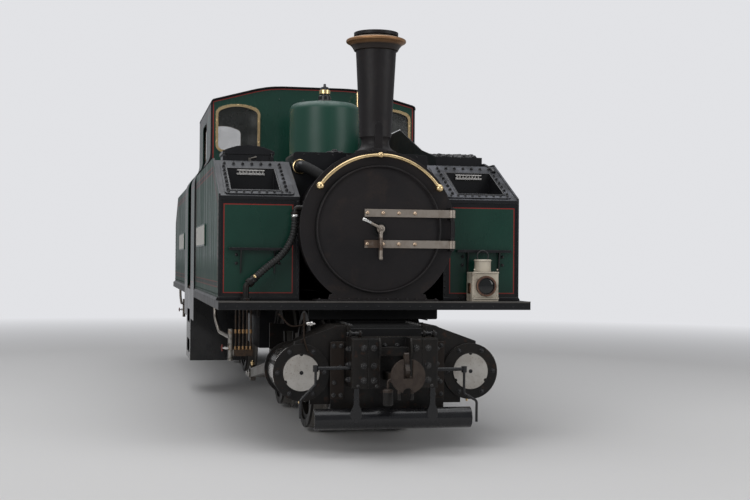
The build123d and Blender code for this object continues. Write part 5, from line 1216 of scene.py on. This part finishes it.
def lump(shape, centre, radius):
    """A broken piece: fifteen corners on three rough rings, joined by flat faces."""
    points = []
    rings = []
    turn = chance.random() * tau
    for level, reach, count in ((-0.82, 0.5, 4), (-0.1, 1.0, 6), (0.72, 0.62, 5)):
        rings.append((len(points), count))
        for i in range(count):
            angle = turn + tau * (i + 0.35 * chance.random()) / count
            out = radius * reach * (0.72 + 0.5 * chance.random())
            high = radius * (level + 0.3 * (chance.random() - 0.5)) * 0.78
            points.append(Vector(centre) + Vector((out * cos(angle) * 1.15, out * sin(angle), high)))
    faces = []
    for (a, m), (b, n) in zip(rings, rings[1:]):
        i = j = 0
        while i < m or j < n:
            if j * m <= i * n and j < n:
                faces.append([b + j % n, b + (j + 1) % n, a + i % m])
                j += 1
            else:
                faces.append([a + i % m, a + (i + 1) % m, b + j % n])
                i += 1
    faces.append([3, 2, 1, 0])
    faces.append([10, 11, 12, 13, 14])
    shape.add(points, faces)


heap = Shape()
grid = []
for i, j in product(range(COLUMNS + 1), range(ROWS + 1)):
    x = HEAP_X[0] + (HEAP_X[1] - HEAP_X[0]) * i / COLUMNS
    y = HEAP_Y[0] + (HEAP_Y[1] - HEAP_Y[0]) * j / ROWS
    z = heap_height(x) - 0.028 + 0.026 * (chance.random() - 0.5) - 0.03 * abs(j / ROWS - 0.45)
    grid.append((x, y, z))
base = len(grid)
grid += [(x, y, HEAP_BASE) for x, y, z in grid]
cells = []
for i, j in product(range(COLUMNS), range(ROWS)):
    a = i * (ROWS + 1) + j
    b = a + ROWS + 1
    cells += [[a, b, b + 1], [a, b + 1, a + 1], [base + a, base + a + 1, base + b + 1, base + b]]
for i in range(COLUMNS):
    a, b = i * (ROWS + 1), (i + 1) * (ROWS + 1)
    cells += [[a, base + a, base + b, b], [a + ROWS, b + ROWS, base + b + ROWS, base + a + ROWS]]
for j in range(ROWS):
    a = COLUMNS * (ROWS + 1) + j
    cells += [[j, j + 1, base + j + 1, base + j], [a, base + a, base + a + 1, a + 1]]
heap.add(grid, cells)
for index in range(LUMPS):
    x = 0.87 + 1.79 * chance.random()
    y = 0.645 + 0.262 * chance.random()
    radius = 0.02 + (0.028 if x > 2.2 else 0.022) * chance.random() ** 2
    lump(heap, (x, y, heap_height(x) - radius * 0.55 - 0.012 * chance.random()), radius)
coal_heap = piece("coal_heap", "superstructure", "coal", heap.both(0), 12)
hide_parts("coal")

# Pipes and springs on top of each bogie frame
bogie_pipes = detail("bogie_pipes", "black", "bogie")
for y in (-0.165, 0.165):
    tube(bogie_pipes, bent([(2.06, y, 0.69), (2.06, y, 0.785), (3.4, y, 0.785)], 0.07, 7), 0.05, 18)
    for x in (2.2, 2.6, 3.0, 3.3):
        turned(bogie_pipes, (x, y, 0.785), AHEAD, [(0, 0.064), (0.018, 0.064)], 24)
brick(bogie_pipes, (3.38, -0.245, 0.66), (3.402, 0.245, 0.792), 0.004)

SPRING_REACH = 0.29
LEAF_THICKNESS = 0.0086
springs = detail("springs", "frame", "bogie")
for centre_x, (low_y, high_y) in product(AXLES, ((-0.266, -0.222), (0.222, 0.266))):
    for leaf in range(6):
        half = SPRING_REACH - 0.038 * leaf
        line = []
        for index in range(9):
            along = half * (-1 + index / 4)
            line.append((centre_x + along, 0.764 + 0.026 * (along / SPRING_REACH) ** 2 - 0.0092 * leaf))
        for two in zip(line, line[1:]):
            places = product((0, LEAF_THICKNESS), two, (low_y, high_y))
            springs.add([(x, y, z + lift) for lift, (x, z), y in places], BOX_FACES)
    low, high = (centre_x - 0.032, low_y - 0.006, 0.699), (centre_x + 0.032, high_y + 0.006, 0.778)
    brick(springs, low, high, 0.004)
    for x in (centre_x - 0.278, centre_x + 0.278):
        brick(springs, (x - 0.012, low_y + 0.008, 0.697), (x + 0.012, high_y - 0.008, 0.79), 0.003)
        profile = [(-0.01, 0.014), (0.008, 0.014), (0.01, 0.008), (0.02, 0.008)]
        turned(springs, (x, (low_y + high_y) / 2, 0.797), UP, profile, 10)

# Boiler bands, the flare round each dome's foot and the collar under its valve
ROUND_STEPS = 72
band_shape = detail("boiler_bands", "gloss", angle=40)
section = [
    (0.022, -0.0015), (0.022, 0.0015), (0.02, 0.0025), (-0.02, 0.0025), (-0.022, 0.0015), (-0.022, -0.0015),
]
for x in (0.9, 1.72, 2.28, 2.5):
    rings = []
    for i in range(ROUND_STEPS):
        angle = tau * i / ROUND_STEPS
        sizes = [(x + dx, BOILER_RADIUS + lift) for dx, lift in section]
        rings.append([(at, radius * cos(angle), BOILER_Z + radius * sin(angle)) for at, radius in sizes])
    loft(band_shape, rings, closed=True)

flare = detail("dome_flare", "dome", angle=50)
section = [(0.2875, -0.02), (0.289, 0.05), (0.2945, 0.026), (0.307, 0.012), (0.33, 0.004), (0.334, -0.012)]
rings = []
for i in range(ROUND_STEPS):
    angle = tau * i / ROUND_STEPS
    ring = []
    for reach, lift in section:
        x, y = reach * cos(angle), reach * sin(angle)
        ring.append((DOME_X + x, y, BOILER_Z + (BOILER_RADIUS ** 2 - y * y) ** 0.5 + lift))
    rings.append(ring)
loft(flare, rings, closed=True)
collar = detail("dome_collars", "gloss")
profile = [(0, 0.062), (0.014, 0.06), (0.02, 0.054), (0.052, 0.052), (0.058, 0.046), (0.066, 0.04)]
turned(collar, (DOME_X, 0, 2.488), UP, profile, 32)

# Sandbox lid and seam rivets, and the steam pipe's brass ring and lagging
sand = detail("sandbox_lids", "gloss")
profile = [(0, 0.064), (0.006, 0.064), (0.01, 0.058), (0.012, 0.02), (0.022, 0.02), (0.026, 0.012)]
turned(sand, (2.735, -0.15, 1.949), UP, profile, 28)
rivets(sand, (2.945, -0.4, 1.915), (0, 0.1, 0), 9, AHEAD, 0.007)
hoop(detail("elbow_rings", "brass"), (2.9615, -0.43, 1.829), 0.046, 0.0065, 36, 8)
lagging = detail("steam_pipe_lagging", "black")
route = [(2.957, -0.429, 1.829), (3.05, -0.429, 1.829), (3.14, -0.345, 1.775), (3.185, -0.265, 1.712)]
tube(lagging, bent(route, 0.05, 7), 0.0395, 28)

# Filler lid: catches in front and a steel latch
catches = detail("lid_catches", "wet")
profile = [(0, 0.005), (0.014, 0.005), (0.016, 0.009), (0.024, 0.009), (0.026, 0.004)]
for y in (-0.93, -0.6):
    brick(catches, (2.712, y - 0.014, TANK_TOP), (2.73, y + 0.014, 1.912))
    turned(catches, (2.721, y, 1.912), UP, profile, 12)
latch = detail("lid_latch", "rod")
tube(latch, [(2.722, -0.755, 1.892), (2.726, -0.735, 1.9), (2.73, -0.707, 1.906)], [0.006, 0.006, 0.009], 10)
brick(latch, (2.712, -0.765, TANK_TOP), (2.73, -0.745, 1.9))

# Rivets round each chimney's foot
chimney_bits = detail("chimney_rivets", "smokebox")
for index in range(28):
    angle = tau * index / 28
    x, y = 0.148 * cos(angle), 0.148 * sin(angle)
    if abs(sin(angle)) > 0.25:
        z = BOILER_Z + (SMOKEBOX_RADIUS ** 2 - y * y) ** 0.5 + 0.004
        rivet(chimney_bits, (3.44 + x, y, z), (0, y * 2, 1), 0.0075)

# Whistle in front of the cab, roof strips and small bolts of the cab front
whistle = detail("whistle", "brass")
turned(whistle, (0.93, 0.356, 1.7), UP, [
    (0, 0.015), (0.6, 0.013), (0.76, 0.013), (0.77, 0.022), (0.8, 0.022), (0.803, 0.012), (0.81, 0.012),
    (0.812, 0.0165), (0.925, 0.0165), (0.935, 0.01), (0.95, 0.005),
], 18)
ROOF = (
    (0, 2.688), (0.252, 2.688), (0.335, 2.685), (0.417, 2.676), (0.499, 2.66), (0.539, 2.65), (0.876, 2.559),
    (0.896, 2.534),
)
ROOF_STRIP_TOP = 2.6845
half_line = []
for (y0, z0), (y1, z1) in zip(ROOF, ROOF[1:]):
    for t in (0, 0.25, 0.5, 0.75):
        half_line.append((y0 + (y1 - y0) * t, min(z0 + (z1 - z0) * t + 0.001, ROOF_STRIP_TOP)))
whole_line = [(-y, z) for y, z in half_line[:0:-1]] + half_line
roof_bits = detail("roof_strips", "roof", sides=True)
for x in (0.27, 0.79):
    tube(roof_bits, [(x, y, z) for y, z in whole_line], 0.0035, 6)
for x, (y, z) in product((0.07, 0.2, 0.34, 0.47, 0.6, 0.73), ((0.6, 2.6334), (0.84, 2.5687))):
    rivet(roof_bits, (x, y, z), (0, 0.26, 0.966))
dots = detail("cab_front_bolts", "edging")
for y in (-0.31, -0.1, 0.1, 0.31):
    rivet(dots, (0.785, y, 2.575), AHEAD, 0.009)
for y in (-0.83, -0.6, -0.37, 0.37, 0.6, 0.83):
    rivet(dots, (0.785, y, 1.99), AHEAD, 0.008)
rim_screws = detail("rim_screws", "brass", sides=True)
for y, z in (
    (0.4845, 2.2), (0.4845, 2.38), (0.847, 2.2), (0.847, 2.38), (0.666, 2.516),
    (0.56, 2.1135), (0.77, 2.1135),
):
    rivet(rim_screws, (0.797, y, z), AHEAD, 0.0065, 0.003)

# Rods: ribs that leave a long hollow in each face, and oil cups; then nuts and washers on the pins
INNER_PINS = {1: (1.632, 0.5336), -1: (1.588, 0.2857)}
OUTER_PINS = {1: (3.0537, 0.5336), -1: (3.0099, 0.2857)}
CROSSHEADS = {1: (3.1305, 0.472), -1: (3.0766, 0.4706)}
RIB_START = 0.075
RIB_OFFSET = 0.0285
RIB_HALF_WIDTH = 0.0055
for rod, far_ends, inside, outside in (
    ("coupling_rod", OUTER_PINS, 0.4, 0.448), ("connecting_rod", CROSSHEADS, 0.582, 0.624),
):
    for name, side in ((f"{rod}_left", 1), (f"{rod}_right", -1)):
        first, last = (Vector((x, 0, z)) for x, z in (INNER_PINS[side], far_ends[side]))
        heading = (last - first).normalized()
        across = Vector((-heading.z, 0, heading.x))
        length = sorted((-side * RIB_START, -side * ((last - first).length - RIB_START)))
        plane = (first + Vector((0, side * outside, 0)), heading * -side, across)
        ribs = detail(f"{name}_ribs", "rod", name)
        for centre in (-RIB_OFFSET, RIB_OFFSET):
            width = (centre - RIB_HALF_WIDTH, centre + RIB_HALF_WIDTH)
            slab(ribs, rectangle(length, width), 0.0, 0.0035, plane)
        cups = detail(f"{name}_cups", "brass", name)
        profile = [(0, 0.013), (0.014, 0.013), (0.016, 0.017), (0.03, 0.017), (0.033, 0.007), (0.042, 0.006)]
        for point in (first, last):
            turned(cups, point + Vector((0, side * (inside + outside) / 2, 0.058)), UP, profile, 14)
for place, crank_pins, face_y in (("inner", INNER_PINS, 0.634), ("outer", OUTER_PINS, 0.456)):
    caps = detail(f"pin_nuts_{place}", "bright", f"wheels_{place}")
    profile = [(-0.001, 0.03), (0.003, 0.03), (0.004, 0.026)]
    for side, (x, z) in crank_pins.items():
        turned(caps, (x, side * face_y, z), (0, side, 0), profile, 24)
        bolt(caps, (x, side * (face_y + 0.003), z), (0, side, 0), 0.019, 0.015)

# Hose: clamp rings at both ends and the coupling's small parts
clamp = detail("hose_clamps", "white")
profile = [(0, 0.0262), (0.003, 0.0275), (0.012, 0.0275), (0.015, 0.0262)]
turned(clamp, (3.448, -0.528, 1.462), UP, profile, 28)
brick(clamp, (3.47, -0.537, 1.463), (3.492, -0.519, 1.476))
low_clamp = detail("coupling_clamps", "bolts")
low_end = Vector(hose_route[-1])
run = (low_end - Vector(hose_route[-2])).normalized()
for back in (0.012, 0.04):
    profile = [(0, 0.026), (0.003, 0.0275), (0.012, 0.0275), (0.015, 0.026)]
    turned(low_clamp, low_end - run * back, run, profile, 28)
low_bolt = low_end - run * 0.028 + Vector((0.03, 0.006, 0.006))
tube(low_clamp, [low_bolt - run * 0.02, low_bolt + run * 0.02], 0.006, 8)
plug = detail("coupling_plug", "brass")
plug_place = low_end + Vector((0.024, 0.02, 0.03))
turned(plug, plug_place, (1, 0.3, 0.4), [(0, 0.01), (0.01, 0.01), (0.012, 0.006)], 12)

# Lubricator: bright cock and its red handle
cock = detail("oiler_cock", "white")
turned(cock, (3.2, -0.925, 0.6), (0, -1, 0), [(0, 0.011), (0.03, 0.011), (0.032, 0.007), (0.05, 0.007)], 12)
cock_handle = detail("cock_handle", "red")
tube(cock_handle, [(3.2, -0.972, 0.622), (3.2, -0.974, 0.6), (3.2, -0.972, 0.578)], [0.005, 0.008, 0.005], 8)

# Rounded bar along the tank's top beside the coal
bar_route = [(2.66, 0.962, 1.885), (2.7, 0.962, 1.893), (2.9, 0.972, 1.842), (2.93, 0.974, 1.822)]
tube(detail("bunker_bar", "gloss"), bent(bar_route, 0.03), 0.0125, 12)

# Smokebox foot: bolted flange on the running plate
FOOT_TOP = 0.932
foot = detail("smokebox_feet", "smokebox")
brick(foot, (3.41, -0.405, PLATE_TOP - 0.001), (3.578, 0.405, FOOT_TOP), 0.003)
foot_bolts = detail("foot_bolts", "smokebox")
for index in range(13):
    bolt(foot_bolts, (3.572, -0.384 + index * 0.064, FOOT_TOP), UP, 0.0065, 0.007, index)

# Cab: plank floor, fire doors, gauges, regulator levers, valves and pipes over the firebox
planks = detail("cab_floor", "timber", sides=True, ends=False)
for index in range(7):
    low_y = 0.475 + index * 0.078
    brick(planks, (-0.765, low_y, PLATE_TOP - 0.001), (0.765, low_y + 0.074, 0.94), 0.003)

fire_doors = detail("fire_doors", "black", ends=False)
for x in (-0.36, 0.36):
    for half, z, corner, low, high, bevel in (
        (0.15, (1.04, 1.3), 0.05, 0.0, 0.014, 0.004), (0.115, (1.07, 1.27), 0.04, 0.012, 0.026, 0.005),
    ):
        slab(fire_doors, rectangle((-x - half, -x + half), z, corner), low, high, facing_left(0.456), bevel)
    for z in (1.1, 1.24):
        brick(fire_doors, (x - 0.16, 0.48, z - 0.012), (x + 0.05, 0.49, z + 0.012))
    turned(fire_doors, (x - 0.155, 0.482, 1.06), UP, [(0, 0.011), (0.22, 0.011)], 12)
    tube(fire_doors, [(x + 0.08, 0.484, 1.15), (x + 0.09, 0.52, 1.165), (x + 0.09, 0.54, 1.17)], 0.008, 8)

dials = detail("gauge_dials", "sign", sides=True, ends=False)
dial_rings = detail("gauge_rings", "brass", sides=True, ends=False)
profile = [(0, 0.05), (0.004, 0.064), (0.036, 0.066), (0.046, 0.062), (0.046, 0.056), (0.042, 0.055)]
for x in (-0.16, 0.16):
    turned(dials, (x, 0.255, 2.06), (0, 1, 0.1), [(0, 0.056), (0.02, 0.056)], 32)
    turned(dial_rings, (x, 0.235, 2.058), (0, 1, 0.1), profile, 32)
    tube(dial_rings, bent([(x, 0.235, 2.058), (x, 0.2, 2.0), (x, 0.2, 1.8)], 0.04), 0.008, 8)

levers = detail("cab_levers", "bright", sides=True, ends=False)
for x in (-0.3, 0.3):
    turned(levers, (x, 0.3, 1.7), (0, 0.6, 0.8), [(0, 0.04), (0.05, 0.04), (0.052, 0.026), (0.1, 0.026)], 20)
    tube(levers, [(x, 0.365, 1.79), (x * 0.8, 0.42, 1.86), (x * 0.3, 0.44, 1.9)], [0.012, 0.01, 0.012], 10)
for side in (-1, 1):
    route = [(side * 0.62, 0.56, 0.94), (side * 0.6, 0.57, 1.5), (side * 0.585, 0.575, 1.72)]
    tube(levers, route, [0.016, 0.013, 0.013], 10)

cab_pipes = detail("cab_pipes", "copper", sides=True, ends=False)
for y, z, radius in ((0.1, 1.9, 0.014), (0.16, 1.93, 0.011), (0.3, 1.78, 0.012)):
    route = [(-0.72, y, z - 0.1), (-0.68, y, z), (0.68, y, z), (0.72, y, z - 0.1)]
    tube(cab_pipes, bent(route, 0.05), radius, 10)
for side in (-1, 1):
    for x, radius, line in (
        (0.5 * side, 0.013, ((0.3, 1.74), (0.45, 1.7), (0.56, 1.5), (0.56, 0.93))),
        (0.56 * side, 0.01, ((0.28, 1.75), (0.5, 1.66), (0.6, 1.4), (0.6, 0.93))),
    ):
        tube(cab_pipes, bent([(x, y, z) for y, z in line], 0.08), radius, 10)

valve_wheels = detail("valve_wheels", "red", sides=True, ends=False)
valve_bodies = detail("valve_bodies", "brass", sides=True, ends=False)
WHEEL_RADIUS = 0.034
profile = [(0, 0.018), (0.1, 0.018), (0.11, 0.024), (0.15, 0.024), (0.16, 0.008), (0.215, 0.008)]
for x, y, z in (
    (-0.42, 0.2, 1.95), (0.42, 0.2, 1.95), (-0.58, 0.16, 1.95), (0.58, 0.16, 1.95), (0.0, 0.12, 2.0),
):
    turned(valve_bodies, (x, y, z - 0.2), UP, profile, 14)
    angles = [tau * i / 20 for i in range(21)]
    rim = [(x + WHEEL_RADIUS * cos(a), y + WHEEL_RADIUS * sin(a), z) for a in angles]
    tube(valve_wheels, rim, 0.0055, 8)
    for angle in (0, pi / 3, 2 * pi / 3):
        arm = Vector((WHEEL_RADIUS * cos(angle), WHEEL_RADIUS * sin(angle), 0))
        tube(valve_wheels, [Vector((x, y, z)) - arm, Vector((x, y, z)) + arm], 0.004, 6)

# Water gauges: a glass tube in brass fittings at each end of the cab
gauge_metal = detail("water_gauges", "brass", sides=True, ends=False)
gauge_tubes = detail("gauge_tubes", "lens", sides=True, ends=False)
profile = [(-0.14, 0.012), (0.0, 0.012), (0.004, 0.019), (0.04, 0.019), (0.044, 0.008)]
for x in (-0.66, 0.66):
    for z in (1.72, 1.93):
        turned(gauge_metal, (x, 0.36, z), LEFT, profile, 12)
    turned(gauge_tubes, (x, 0.38, 1.73), UP, [(0, 0.009), (0.19, 0.009)], 14)

for shape, name, finish, body, sides, ends, angle in details:
    form = shape.both(1) if sides else shape
    if not ends:
        piece(name, body, finish, form, angle)
    elif body == "superstructure":
        piece(name, body, finish, form.both(0), angle)
    else:
        piece(f"{name}_front", f"{body}_front", finish, form, angle)
        piece(f"{name}_rear", f"{body}_rear", finish, form.mirrored(0), angle)

# Floor, backdrop colour and soft lights
BACKDROP = (0.76, 0.765, 0.79, 1)
FLOOR_REACH = 60.0
FLOOR_PLAIN_RADIUS = 5.5
FLOOR_FADE = 9
floor_mesh = bpy.data.meshes.new("floor")
corners = [(x * FLOOR_REACH, y * FLOOR_REACH, 0) for x, y in ((-1, -1), (1, -1), (1, 1), (-1, 1))]
floor_mesh.from_pydata(corners, [], [(0, 1, 2, 3)])
floor = bpy.data.objects.new("floor", floor_mesh)
bpy.context.collection.objects.link(floor)
pale = Surface("floor_pale", (0.62, 0.61, 0.6), 0.85)
pale.rough(pale.noise(3, 2) * 0.1 + 0.8)
floor_mesh.materials.append(pale.done())
far_off = pale.x.away(pale.y).line(1 / FLOOR_FADE, -FLOOR_PLAIN_RADIUS / FLOOR_FADE)
nodes = pale.tree.nodes
links = pale.tree.links
ray = nodes.new("ShaderNodeLightPath")
seen = Num(pale.tree, ray.outputs["Is Camera Ray"]) + Num(pale.tree, ray.outputs["Is Transmission Ray"])
seen = seen + Num(pale.tree, ray.outputs["Is Glossy Ray"]) * 0.4
backdrop = nodes.new("ShaderNodeEmission")
backdrop.inputs["Color"].default_value = BACKDROP
blend = nodes.new("ShaderNodeMixShader")
links.new((far_off * seen).least(1.0).out, blend.inputs[0])
links.new(pale.shader.outputs[0], blend.inputs[1])
links.new(backdrop.outputs[0], blend.inputs[2])
links.new(blend.outputs[0], nodes["Material Output"].inputs[0])

world = bpy.data.worlds.new("studio")
bpy.context.scene.world = world
world.use_nodes = True
nodes = world.node_tree.nodes
links = world.node_tree.links
background = nodes["Background"]
background.inputs["Color"].default_value = (0.86, 0.88, 0.92, 1)
background.inputs["Strength"].default_value = 0.34
plain = nodes.new("ShaderNodeBackground")
plain.inputs["Color"].default_value = BACKDROP
plain.inputs["Strength"].default_value = 1.0
mixer = nodes.new("ShaderNodeMixShader")
ray = nodes.new("ShaderNodeLightPath")
seen = nodes.new("ShaderNodeMath")
seen.operation = "ADD"
seen.use_clamp = True
links.new(ray.outputs["Is Camera Ray"], seen.inputs[0])
links.new(ray.outputs["Is Transmission Ray"], seen.inputs[1])
links.new(seen.outputs[0], mixer.inputs[0])
links.new(background.outputs[0], mixer.inputs[1])
links.new(plain.outputs[0], mixer.inputs[2])
links.new(mixer.outputs[0], nodes["World Output"].inputs[0])


def soft_light(name, at, toward, size, power, colour=(1, 1, 1)):
    """A rectangular light turned to a point."""
    data = bpy.data.lights.new(name, "AREA")
    data.shape = "RECTANGLE"
    data.size, data.size_y = size
    data.energy = power
    data.color = colour
    light = bpy.data.objects.new(name, data)
    turn = (Vector(toward) - Vector(at)).to_track_quat("-Z", "Y").to_matrix().to_4x4()
    light.matrix_world = Matrix.Translation(at) @ turn
    bpy.context.collection.objects.link(light)


soft_light("overhead", (1.5, -1.0, 8.5), (0.5, 0, 0), (14, 9), 640, (0.97, 0.98, 1.0))
soft_light("front_left", (10.5, -7.5, 5.0), (2.0, 0, 1.2), (6, 5), 330)
soft_light("front_right", (9.0, 8.5, 4.5), (2.0, 0, 1.2), (6, 5), 210)

bpy.context.scene.view_settings.view_transform = "Standard"
